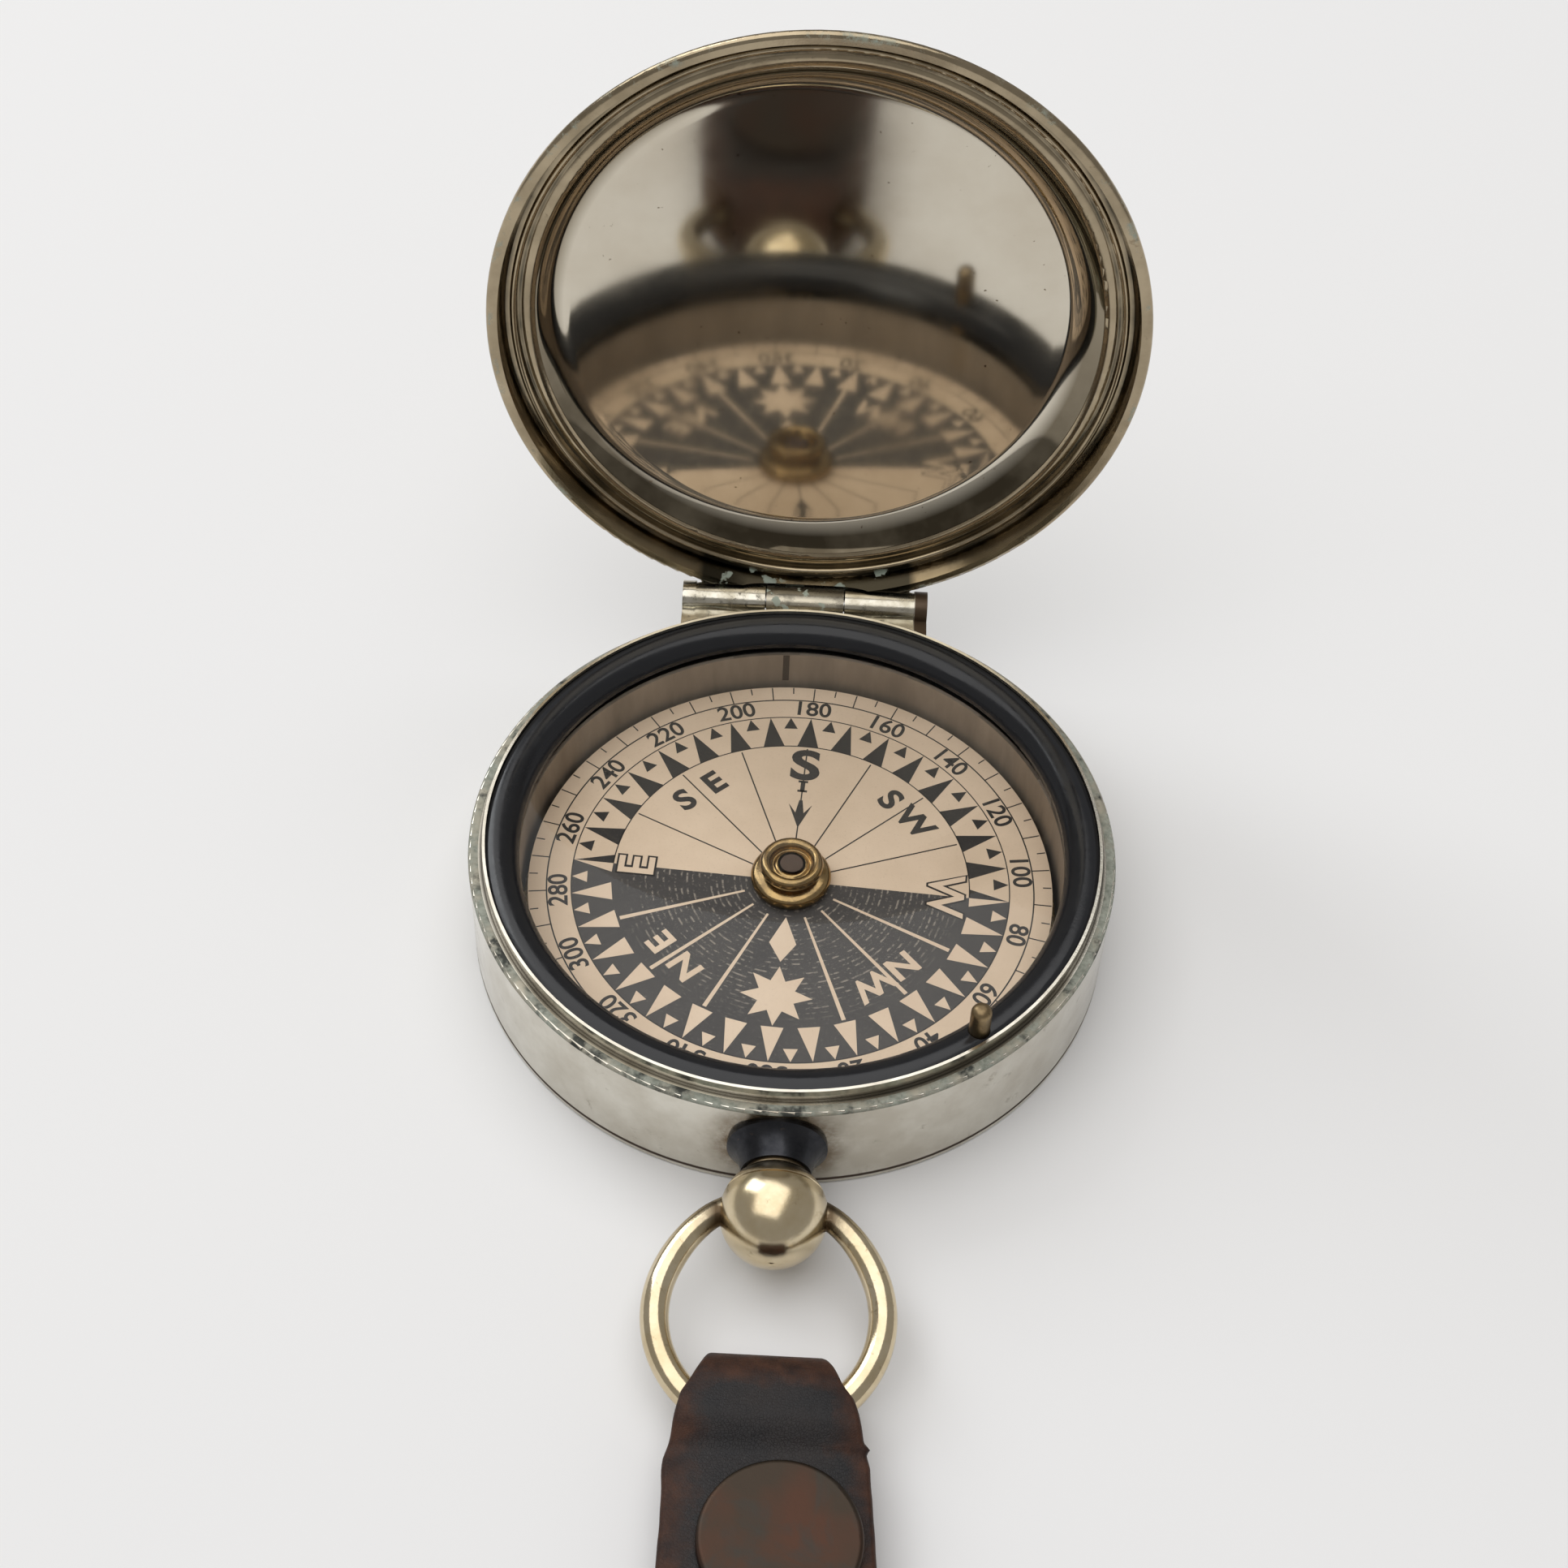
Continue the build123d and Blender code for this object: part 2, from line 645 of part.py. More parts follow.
# Lid, drawn closed in its own frame: stepped rim, dished cover, hinge leaf with the middle knuckle
lap_angle = dish_slope - dish_lap
seat = (dish_point(dish_slope, 0), dish_point(dish_slope, dome_thickness + fit_gap))
lap = dish_point(lap_angle, dome_thickness + fit_gap)
rim_end = dish_point(lap_angle, dome_thickness + 3 * fit_gap)
rim_start = (lid_radius, lid_bottom + rim_wall_height)
rim_middle = arc_middle(rim_start, rim_end, rim_bulge)
seat_shift = Vector(cos(radians(dish_slope)), -sin(radians(dish_slope))) * fit_gap
with BuildPart() as lid_rim:
    with BuildSketch(lid_section):
        with BuildLine():
            Line(lap, rim_end)
            ThreePointArc(rim_end, rim_middle, rim_start)
            Polyline(
                rim_start,
                (lid_radius, lid_bottom),
                (rim_wall, lid_bottom),
                (rim_wall - groove_lean, bead_root),
                (bead_place + bead_radius, bead_root),
            )
            ThreePointArc(
                (bead_place + bead_radius, bead_root),
                (bead_place, bead_root - bead_radius),
                (bead_place - bead_radius, bead_root),
            )
            Polyline(
                (bead_place - bead_radius, bead_root),
                (bead_place - bead_radius, valley_top),
                (plunger_reach + ridge_half_width, valley_top),
            )
            ThreePointArc(
                (plunger_reach + ridge_half_width, valley_top),
                (plunger_reach, ridge_crest),
                (plunger_reach - ridge_half_width, valley_top),
            )
            Polyline(
                (plunger_reach - ridge_half_width, valley_top),
                Vector(*seat[0]) + seat_shift,
                Vector(*seat[1]) + seat_shift,
                seat[1],
            )
            ThreePointArc(seat[1], dish_point(dish_slope - dish_lap / 2, dome_thickness + fit_gap), lap)
        make_face()
    revolve(axis=lid_axis)
    round_edges = lid_rim.edges().filter_by(GeomType.CIRCLE)
    rim_edges = round_edges.filter_by(lambda e: e.radius > lid_radius - rim_round)
    fillet(rim_edges.sort_by(lid_axis)[0], rim_round)
    with BuildSketch(lid_hinge_line):
        Circle(hinge_room)
    extrude(amount=hinge_half + hinge_gap, both=True, mode=Mode.SUBTRACT)

wall_middle = (dish_slope + dome_angle) / 2
with BuildPart() as lid_dome:
    with BuildSketch(lid_section):
        with BuildLine():
            ThreePointArc(dome_point(0, 0), dome_point(dome_angle / 2, 0), dome_point(dome_angle, 0))
            ThreePointArc(dome_point(dome_angle, 0), dish_point(wall_middle, 0), dish_point(dish_slope, 0))
            Line(dish_point(dish_slope, 0), dish_point(dish_slope, dome_thickness))
            ThreePointArc(
                dish_point(dish_slope, dome_thickness),
                dish_point(wall_middle, dome_thickness),
                dome_point(dome_angle, dome_thickness),
            )
            ThreePointArc(
                dome_point(dome_angle, dome_thickness),
                dome_point(dome_angle / 2, dome_thickness),
                dome_point(0, dome_thickness),
            )
            Line(dome_point(0, dome_thickness), dome_point(0, 0))
        make_face()
    revolve(axis=lid_axis)

leaf_bottom = hinge_z + hinge_room
leaf_tip = leaf_half_length + leaf_flare
leaf_tip_y = sqrt(lid_radius ** 2 - leaf_tip ** 2)
leaf_bend = (leaf_half_length + 0.15 * leaf_flare, leaf_tip_y + 0.3 * (hinge_y + leaf_back - leaf_tip_y))
with BuildPart() as lid_leaf:
    with BuildSketch(lid_frame.offset(leaf_bottom)):
        with BuildLine():
            Line((-leaf_half_length, hinge_y + leaf_back), (leaf_half_length, hinge_y + leaf_back))
            ThreePointArc((leaf_half_length, hinge_y + leaf_back), leaf_bend, (leaf_tip, leaf_tip_y))
            Polyline((leaf_tip, leaf_tip_y), (0, case_radius / 2), (-leaf_tip, leaf_tip_y))
            ThreePointArc(
                (-leaf_tip, leaf_tip_y),
                (-leaf_bend[0], leaf_bend[1]),
                (-leaf_half_length, hinge_y + leaf_back),
            )
        make_face()
    extrude(amount=leaf_thickness)
    with BuildSketch(lid_section):
        with BuildLine():
            ThreePointArc(rim_end, rim_middle, rim_start)
            Polyline(rim_start, (lid_radius, lid_bottom), (0, lid_bottom), (0, rim_end[1]), rim_end)
        make_face()
    revolve(axis=lid_axis, mode=Mode.SUBTRACT)
    with BuildSketch(lid_hinge_line):
        Circle(knuckle_radius)
        with Locations((leaf_back / 2, hinge_room / 2)):
            Rectangle(leaf_back, hinge_room + run_gap)
    extrude(amount=middle_knuckle / 2, both=True)
    with BuildSketch(lid_hinge_line):
        Circle(hinge_pin_radius + pin_gap)
    extrude(amount=hinge_half, both=True, mode=Mode.SUBTRACT)

# Case half of the hinge: two outer knuckles with end cheeks on a saddle that fits the wall
lug_start = middle_knuckle / 2 + hinge_gap
block_foot = hinge_z - block_drop
saddle_top = hinge_z - knuckle_radius - 2 * hinge_gap
with BuildPart() as hinge_block:
    for side in (-1, 1):
        with BuildSketch(hinge_line.offset(side * lug_start)):
            Circle(knuckle_radius)
            with BuildLine():
                Polyline(
                    (-case_radius / 4, 0),
                    (knuckle_radius, 0),
                    (knuckle_radius, -knuckle_radius),
                    (case_radius - hinge_y, -block_drop),
                    (-case_radius / 4, -block_drop),
                    close=True,
                )
            make_face()
        extrude(amount=side * outer_knuckle)
        with BuildSketch(hinge_line.offset(side * (lug_start + outer_knuckle))):
            Circle(cheek_radius)
            with BuildLine():
                Polyline(
                    (-case_radius / 4, 0),
                    (knuckle_radius, 0),
                    (knuckle_radius, -knuckle_radius),
                    (case_radius - hinge_y, -block_drop),
                    (-case_radius / 4, -block_drop),
                    close=True,
                )
            make_face()
        extrude(amount=side * end_cheek)
    with BuildSketch(Plane.XY.offset(block_foot)):
        with Locations((0, case_radius)):
            Rectangle(2 * lug_start, 2 * (hinge_y - case_radius))
    extrude(amount=saddle_top - block_foot)
    with BuildSketch():
        Circle(case_radius)
    extrude(amount=hinge_z, mode=Mode.SUBTRACT)
    with BuildSketch(hinge_line):
        Circle(hinge_pin_radius + pin_gap)
    extrude(amount=hinge_half, both=True, mode=Mode.SUBTRACT)

with BuildPart() as hinge_pin:
    with BuildSketch(hinge_line):
        Circle(hinge_pin_radius)
    extrude(amount=hinge_half, both=True)

# Pendant: flared collar, ball with neck and stem, nut inside the wall
collar_brim = (pendant_collar_radius, -case_radius - pendant_collar_edge)
collar_nose = (pendant_collar_nose, -case_radius - pendant_collar_length)
with BuildPart() as pendant_collar:
    with BuildSketch(pendant_plane):
        with BuildLine():
            Polyline(
                collar_nose,
                (neck_radius + fit_gap, collar_nose[1]),
                (neck_radius + fit_gap, -case_radius + case_wall),
                (pendant_collar_radius, -case_radius + case_wall),
                collar_brim,
            )
            ThreePointArc(collar_brim, arc_middle(collar_brim, collar_nose, pendant_collar_sag), collar_nose)
        make_face()
    revolve(axis=Axis((0, 0, pendant_z), (0, 1, 0)))
    with BuildSketch():
        Circle(case_radius)
    extrude(amount=ledge_height, mode=Mode.SUBTRACT)

stem_end = -(wall_inner - pendant_nut_thickness - 4 * run_gap)
nut_face = -sqrt(wall_inner ** 2 - (pendant_nut_width / 2) ** 2) + run_gap / 2
neck_end = ball_y + sqrt(ball_radius ** 2 - neck_radius ** 2)
groove_y = ball_y + ball_groove_place
groove_radius = sqrt(ball_radius ** 2 - ball_groove_place ** 2)
with BuildPart() as pendant_ball:
    with BuildSketch(pendant_plane):
        with BuildLine():
            Polyline(
                (0, ball_y - ball_radius),
                (0, stem_end),
                (stem_radius, stem_end),
                (stem_radius, -case_radius),
                (neck_radius, -case_radius),
                (neck_radius, neck_end),
            )
            ThreePointArc((neck_radius, neck_end), (ball_radius, ball_y), (0, ball_y - ball_radius))
        make_face()
        with Locations((groove_radius, groove_y)):
            Rectangle(2 * ball_groove, 2 * ball_groove, rotation=45, mode=Mode.SUBTRACT)
    revolve(axis=Axis((0, 0, pendant_z), (0, 1, 0)))
    for side in (-1, 1):
        with BuildSketch(Plane.YZ.offset(side * ball_radius)):
            with Locations((ball_y, pendant_z)):
                Circle(bow_pivot_radius + pin_gap)
        extrude(amount=-side * (bow_pivot_depth + bow_ball_gap), mode=Mode.SUBTRACT)

with BuildPart() as pendant_nut:
    with BuildSketch(Plane.XZ.offset(-nut_face)):
        with Locations((0, pendant_z)):
            Rectangle(pendant_nut_width, pendant_nut_width)
            Circle(stem_radius, mode=Mode.SUBTRACT)
    extrude(amount=-pendant_nut_thickness)

# Bow: wire ring whose ends follow the ball, with two pivots in the ball's sides
bow_pivot_length = bow_pivot_depth + wire_radius
with BuildPart(bow_plane) as bow_ring:
    with Locations((0, -bow_offset, 0)):
        Torus(bow_radius, wire_radius)
    Sphere(ball_radius + bow_ball_gap, mode=Mode.SUBTRACT)
    for side in (-1, 1):
        with Locations((side * (ball_radius - bow_pivot_depth + bow_pivot_length / 2), 0, 0)):
            Cylinder(bow_pivot_radius, bow_pivot_length, rotation=(0, 90, 0))

# Strap: one leather band folded round the bow, the upper layer held by the snap
fold_centre = fold_front - leather - loop_height / 2
slope_start = loop_y - loop_pivot_inset
flap_start = slope_start - flap_slope
flap_end = fold_front - flap_length
loop_top = leather + loop_height
fold_top = loop_top + leather
strap_end = fold_front - strap_length
with BuildPart() as strap:
    with BuildSketch(Plane.YZ):
        with BuildLine():
            Polyline((fold_centre, 0), (strap_end, 0), (strap_end, leather), (fold_centre, leather))
            ThreePointArc(
                (fold_centre, leather),
                (fold_centre + loop_height / 2, loop_z),
                (fold_centre, loop_top),
            )
            Line((fold_centre, loop_top), (slope_start, loop_top))
            Spline((slope_start, loop_top), (flap_start, upper_layer), tangents=((-1, 0), (-1, 0)))
            Polyline(
                (flap_start, upper_layer),
                (flap_end, upper_layer),
                (flap_end, upper_top),
                (flap_start, upper_top),
            )
            Spline((flap_start, upper_top), (slope_start, fold_top), tangents=((1, 0), (1, 0)))
            Line((slope_start, fold_top), (fold_centre, fold_top))
            ThreePointArc((fold_centre, fold_top), (fold_front, loop_z), (fold_centre, 0))
        make_face()
    extrude(amount=2 * end_half_width, both=True)
    with BuildSketch():
        left = strap_edge(-1)
        right = strap_edge(1)
        tip = (strap_lean * strap_length, strap_end)
        with BuildLine():
            Polyline(*reversed(right), *left)
            ThreePointArc(left[-1], tip, right[-1])
        make_face()
        with Locations((strap_lean * (strap_length - strap_hole_inset), strap_end + strap_hole_inset)):
            Circle(strap_hole_radius, mode=Mode.SUBTRACT)
    extrude(amount=fold_top, mode=Mode.INTERSECT)
    with BuildSketch(Plane.XY.offset(upper_layer)):
        with Locations((snap_x, snap_y)):
            Circle(cap_tube_radius)
    extrude(amount=leather, mode=Mode.SUBTRACT)
    with BuildSketch():
        with Locations((snap_x, snap_y)):
            Circle(stud_stem_radius)
    extrude(amount=leather, mode=Mode.SUBTRACT)
    with BuildSketch():
        with Locations((snap_x, snap_y)):
            Circle(snap_back_radius)
    extrude(amount=snap_back_thickness, mode=Mode.SUBTRACT)

# Snap: cap with its tube, socket under the upper layer, stud on the lower one, back washer
with BuildPart() as snap_cap:
    with BuildSketch(Plane.XY.offset(upper_top)):
        with Locations((snap_x, snap_y)):
            Circle(cap_radius)
    extrude(amount=cap_thickness)
    fillet(snap_cap.edges().sort_by(Axis.Z)[-1], cap_round)
    with BuildSketch(Plane.XY.offset(upper_top)):
        with Locations((snap_x, snap_y)):
            Circle(cap_tube_radius)
    extrude(amount=-leather)

socket_bottom = leather + stud_flange + run_gap
with BuildPart() as snap_socket:
    with BuildSketch(Plane.XY.offset(socket_bottom)):
        with Locations((snap_x, snap_y)):
            Circle(socket_radius)
    extrude(amount=upper_layer - socket_bottom)
    with BuildSketch(Plane.XY.offset(socket_bottom)):
        with Locations((snap_x, snap_y)):
            Circle(stud_head_radius + run_gap)
    extrude(amount=upper_layer - socket_bottom - socket_roof, mode=Mode.SUBTRACT)

with BuildPart() as snap_stud:
    with BuildSketch(Plane.XY.offset(leather)):
        with Locations((snap_x, snap_y)):
            Circle(socket_radius)
    extrude(amount=stud_flange)
    with BuildSketch(Plane.XY.offset(leather)):
        with Locations((snap_x, snap_y)):
            Circle(stud_head_radius)
    extrude(amount=upper_layer - socket_roof - run_gap - leather)
    with BuildSketch(Plane.XY.offset(leather)):
        with Locations((snap_x, snap_y)):
            Circle(stud_stem_radius)
    extrude(amount=-(leather - snap_back_thickness))

with BuildPart() as snap_back:
    with BuildSketch():
        with Locations((snap_x, snap_y)):
            Circle(snap_back_radius)
    extrude(amount=snap_back_thickness)

pieces = {
    "case_body": case_body,
    "case_back": case_back,
    "bezel_ring": bezel_ring,
    "cover_glass": cover_glass,
    "liner_ring": liner_ring,
    "base_plate": base_plate,
    "pivot_post": pivot_post,
    "pivot_needle": pivot_needle,
    "card_face": card_face,
    "card_disc": card_disc,
    "magnet_left": magnet_left,
    "magnet_right": magnet_right,
    "magnet_rivets": magnet_rivets,
    "card_cap": card_cap,
    "cap_jewel": cap_jewel,
    "cap_nut": cap_nut,
    "lift_collar": lift_collar,
    "lock_plunger": lock_plunger,
    "plunger_bush": plunger_bush,
    "lock_lever": lock_lever,
    "lever_bracket": lever_bracket,
    "fulcrum_pin": fulcrum_pin,
    "bracket_screws": bracket_screws,
    "lever_spring": lever_spring,
    "lid_rim": lid_rim,
    "lid_dome": lid_dome,
    "lid_leaf": lid_leaf,
    "hinge_block": hinge_block,
    "hinge_pin": hinge_pin,
    "pendant_collar": pendant_collar,
    "pendant_ball": pendant_ball,
    "pendant_nut": pendant_nut,
    "bow_ring": bow_ring,
    "strap": strap,
    "snap_cap": snap_cap,
    "snap_socket": snap_socket,
    "snap_stud": snap_stud,
    "snap_back": snap_back,
}
os.makedirs("parts", exist_ok=True)
for name, piece in pieces.items():
    piece.part.label = name
    export_step(piece.part, f"parts/{name}.step")
print("ledge", round(ledge_height, 4), "lip", round(lip_top, 4), "glass", round(glass_bottom, 4))
print("lift", round(lock_lift, 4), "tilt", round(2 * half_tilt, 4), "fulcrum", fulcrum_point)
print("bow pivot", ball_y, round(pendant_z, 4), "drop", round(bow_drop, 3))
print("loop", round(loop_y, 4), loop_z, "fold", round(fold_front, 4))
print("hinge", hinge_y, round(hinge_z, 4))
print("strap end", round(strap_end, 4), "snap", snap_x, round(snap_y, 4))
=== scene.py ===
import bmesh
import bpy
import json
import math
from mathutils import Matrix, Vector, noise


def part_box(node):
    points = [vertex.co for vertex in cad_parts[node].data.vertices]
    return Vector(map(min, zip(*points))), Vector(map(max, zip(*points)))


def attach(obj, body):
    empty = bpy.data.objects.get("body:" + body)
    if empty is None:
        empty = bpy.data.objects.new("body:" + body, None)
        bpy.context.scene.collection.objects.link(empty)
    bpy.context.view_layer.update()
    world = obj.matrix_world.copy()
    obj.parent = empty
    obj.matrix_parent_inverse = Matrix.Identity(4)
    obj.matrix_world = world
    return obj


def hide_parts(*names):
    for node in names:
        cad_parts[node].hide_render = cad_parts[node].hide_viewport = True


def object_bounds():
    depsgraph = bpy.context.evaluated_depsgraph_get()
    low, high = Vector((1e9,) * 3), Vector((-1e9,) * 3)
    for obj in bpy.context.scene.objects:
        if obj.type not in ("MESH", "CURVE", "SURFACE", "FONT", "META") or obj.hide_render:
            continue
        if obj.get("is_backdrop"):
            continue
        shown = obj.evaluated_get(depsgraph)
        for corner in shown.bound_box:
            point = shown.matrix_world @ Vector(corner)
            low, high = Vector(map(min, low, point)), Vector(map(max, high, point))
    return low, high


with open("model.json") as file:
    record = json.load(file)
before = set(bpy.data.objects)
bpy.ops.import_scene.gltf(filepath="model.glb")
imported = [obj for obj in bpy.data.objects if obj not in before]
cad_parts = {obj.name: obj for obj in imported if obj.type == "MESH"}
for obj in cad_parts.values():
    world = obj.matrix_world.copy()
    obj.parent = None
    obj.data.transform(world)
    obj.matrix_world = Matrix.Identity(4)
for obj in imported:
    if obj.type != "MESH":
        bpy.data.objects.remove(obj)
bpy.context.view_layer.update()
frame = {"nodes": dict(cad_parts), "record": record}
MM = 0.001
# Radians that a wave texture of scale 1 runs through in a metre
wave_phase = 20

# Small sizes of the solids that no box gives, in millimetres
lip_step = 1.0
cheek_width = 1.0
lid_gap = 0.05
dish_wall = 2.4
dish_inset = 2.66

# Places read from the solids and the record, in millimetres where not a point
joints = {joint["name"]: joint for joint in frame["record"]["behaviour"]["joints"]}
mounts = {mount["name"]: mount for mount in frame["record"]["mounts"]}
hinge_point = Vector(joints["lid_hinge"]["pos_m"])
lid_angle = math.radians(joints["lid_hinge"]["range_deg"][1])
lid_closing = (
    Matrix.Translation(hinge_point) @ Matrix.Rotation(lid_angle, 4, "X") @ Matrix.Translation(-hinge_point)
)
card_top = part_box("card_face")[1].z / MM
card_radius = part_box("card_face")[1].x / MM
ledge_height = hinge_point.z / MM
case_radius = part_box("case_body")[1].x / MM
lip_radius = case_radius - lip_step
ball_centre = Vector(joints["bow_swing"]["pos_m"])
ball_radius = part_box("pendant_ball")[1].x / MM
seam_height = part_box("case_body")[0].z / MM
pendant_root = Vector((0, -case_radius * MM, ball_centre.z))
cheek_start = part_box("hinge_block")[1].x / MM - cheek_width
lid_face = ledge_height + lid_gap
dish_radius = case_radius - dish_inset


def clamp(value):
    return min(max(value, 0.0), 1.0)


def eased(share):
    """A share from 0 to 1 that starts and ends gently."""
    return share * share * (3 - 2 * share)


class Shader:
    """A material being made: short calls that add nodes and wire them."""

    def __init__(self, name):
        self.material = bpy.data.materials.new(name)
        self.material.use_nodes = True
        self.tree = self.material.node_tree
        self.surface = self.tree.nodes["Principled BSDF"]
        self.place = self.node("TexCoord").outputs["Object"]

    def node(self, kind):
        return self.tree.nodes.new("ShaderNode" + kind)

    def wire(self, value, socket):
        if isinstance(value, bpy.types.NodeSocket):
            self.tree.links.new(value, socket)
        elif isinstance(value, tuple) and socket.type == "RGBA":
            socket.default_value = value + (1.0,)
        else:
            socket.default_value = value

    def set(self, **values):
        for name, value in values.items():
            label = name.replace("_", " ").title().replace("Ior", "IOR")
            self.wire(value, self.surface.inputs[label])

    def stretched(self, x, y, z):
        mapping = self.node("Mapping")
        self.wire(self.place, mapping.inputs["Vector"])
        mapping.inputs["Scale"].default_value = (x, y, z)
        return mapping.outputs["Vector"]

    def close_lid(self):
        """From here on, places are taken as they are when the lid is shut."""
        mapping = self.node("Mapping")
        self.wire(self.place, mapping.inputs["Vector"])
        mapping.inputs["Rotation"].default_value = lid_closing.to_euler()
        mapping.inputs["Location"].default_value = lid_closing.to_translation()
        self.place = mapping.outputs["Vector"]

    def noise(self, scale, detail=4.0, roughness=0.55, vector=None, distortion=0.0):
        texture = self.node("TexNoise")
        self.wire(vector or self.place, texture.inputs["Vector"])
        texture.inputs["Scale"].default_value = scale
        texture.inputs["Detail"].default_value = detail
        texture.inputs["Roughness"].default_value = roughness
        texture.inputs["Distortion"].default_value = distortion
        return texture.outputs["Fac"]

    def cells(self, scale):
        texture = self.node("TexVoronoi")
        texture.feature = "DISTANCE_TO_EDGE"
        self.wire(self.place, texture.inputs["Vector"])
        texture.inputs["Scale"].default_value = scale
        return texture.outputs["Distance"]

    def rings(self, spacing):
        """Waves round the Z axis, their spacing in millimetres."""
        texture = self.node("TexWave")
        texture.wave_type = "RINGS"
        texture.rings_direction = "Z"
        self.wire(self.place, texture.inputs["Vector"])
        texture.inputs["Scale"].default_value = 2 * math.pi / (wave_phase * spacing * MM)
        texture.inputs["Distortion"].default_value = 0.0
        return texture.outputs["Fac"]

    def range(self, value, low, high, start=0.0, end=1.0):
        ranged = self.node("MapRange")
        self.wire(value, ranged.inputs["Value"])
        ranged.inputs["From Min"].default_value = low
        ranged.inputs["From Max"].default_value = high
        ranged.inputs["To Min"].default_value = start
        ranged.inputs["To Max"].default_value = end
        return ranged.outputs["Result"]

    def math(self, operation, first, second=0.0):
        worked = self.node("Math")
        worked.operation = operation
        self.wire(first, worked.inputs[0])
        self.wire(second, worked.inputs[1])
        return worked.outputs["Value"]

    def mix(self, factor, first, second):
        mixer = self.node("Mix")
        mixer.data_type = "RGBA"
        self.wire(factor, mixer.inputs[0])
        self.wire(first, mixer.inputs[6])
        self.wire(second, mixer.inputs[7])
        return mixer.outputs[2]

    def axis(self, name):
        split = self.node("SeparateXYZ")
        self.wire(self.place, split.inputs["Vector"])
        return split.outputs[name]

    def radius(self):
        """Distance from the Z axis."""
        length = self.node("VectorMath")
        length.operation = "LENGTH"
        self.wire(self.stretched(1.0, 1.0, 0.0), length.inputs[0])
        return length.outputs["Value"]

    def band(self, value, centre, half):
        """1 at the centre and 0 from half a width away, both in millimetres."""
        away = self.math("ABSOLUTE", self.math("SUBTRACT", value, centre * MM))
        return self.range(away, 0.0, half * MM, 1.0, 0.0)

    def near(self, point, inner, outer):
        """1 within the inner distance of a point and 0 beyond the outer one, in millimetres."""
        away = self.node("VectorMath")
        away.operation = "DISTANCE"
        self.wire(self.place, away.inputs[0])
        away.inputs[1].default_value = point
        return self.range(away.outputs["Value"], inner * MM, outer * MM, 1.0, 0.0)

    def attribute(self, name):
        reader = self.node("Attribute")
        reader.attribute_name = name
        return reader.outputs["Fac"]

    def edge(self, radius):
        """1 along the sharp edges, 0 on the faces."""
        bevel = self.node("Bevel")
        bevel.inputs["Radius"].default_value = radius
        dot = self.node("VectorMath")
        dot.operation = "DOT_PRODUCT"
        self.wire(bevel.outputs["Normal"], dot.inputs[0])
        self.wire(self.node("NewGeometry").outputs["Normal"], dot.inputs[1])
        flat_dot = 0.98
        edge_dot = 0.80
        return self.range(dot.outputs["Value"], flat_dot, edge_dot)

    def bump(self, height, distance):
        bump = self.node("Bump")
        bump.inputs["Distance"].default_value = distance
        self.wire(height, bump.inputs["Height"])
        self.wire(bump.outputs["Normal"], self.surface.inputs["Normal"])


def metal(made, bright, dull, stain, rough, stain_from=0.62, scale=260.0, scratch=0.000004):
    """Clouds of tarnish, darker stains and fine scratches; returns the colour and the roughness."""
    stain_fade = 0.14
    stain_rough = 0.14
    clouds = made.range(made.noise(scale, 6.0, 0.6), 0.35, 0.65)
    spread = made.noise(scale * 2.3, 8.0, 0.7, distortion=0.4)
    stains = made.range(spread, stain_from, stain_from + stain_fade)
    grain = made.noise(9000.0, 3.0, 0.6)
    lines = made.noise(1.0, 2.0, 0.5, vector=made.stretched(2600.0, 300.0, 5200.0))
    made.bump(made.math("ADD", grain, lines), scratch)
    colour = made.mix(stains, made.mix(clouds, bright, dull), stain)
    base_rough = made.range(clouds, 0.0, 1.0, rough[0], rough[1])
    roughness = made.math("ADD", base_rough, made.range(stains, 0.0, 1.0, 0.0, stain_rough))
    return colour, roughness


def plain_metal(name, *values, **options):
    made = Shader(name)
    colour, roughness = metal(made, *values, **options)
    made.set(base_color=colour, roughness=roughness, metallic=1.0)
    return made.material


def case_nickel():
    """Pale nickel with a brown seam, brown round the collar and darker on the ledge at the lip's foot."""
    made = Shader("nickel_case")
    colour, roughness = metal(made, (0.70, 0.67, 0.59), (0.55, 0.51, 0.43), (0.24, 0.20, 0.14), (0.10, 0.20))
    patchy = made.range(made.noise(500.0, 6.0, 0.7), 0.30, 0.60, 0.0, 1.0)
    halo = made.math("MULTIPLY", made.near(pendant_root, 3.2, 5.2), patchy)
    colour = made.mix(halo, colour, (0.17, 0.115, 0.06))
    seam = made.range(made.band(made.axis("Z"), seam_height, 0.20), 0.0, 0.5)
    colour = made.mix(seam, colour, (0.045, 0.025, 0.013))
    # The ledge is made darker in a narrow band at the lip's foot.
    on_ledge = made.band(made.axis("Z"), ledge_height, 0.05)
    foot = made.band(made.radius(), lip_radius + 0.1, 0.35)
    colour = made.mix(made.math("MULTIPLY", on_ledge, foot), colour, (0.045, 0.040, 0.032))
    made.set(base_color=colour, metallic=made.range(seam, 0.0, 1.0, 1.0, 0.15))
    made.set(roughness=made.math("ADD", roughness, made.range(seam, 0.0, 1.0, 0.0, 0.45)))
    return made.material


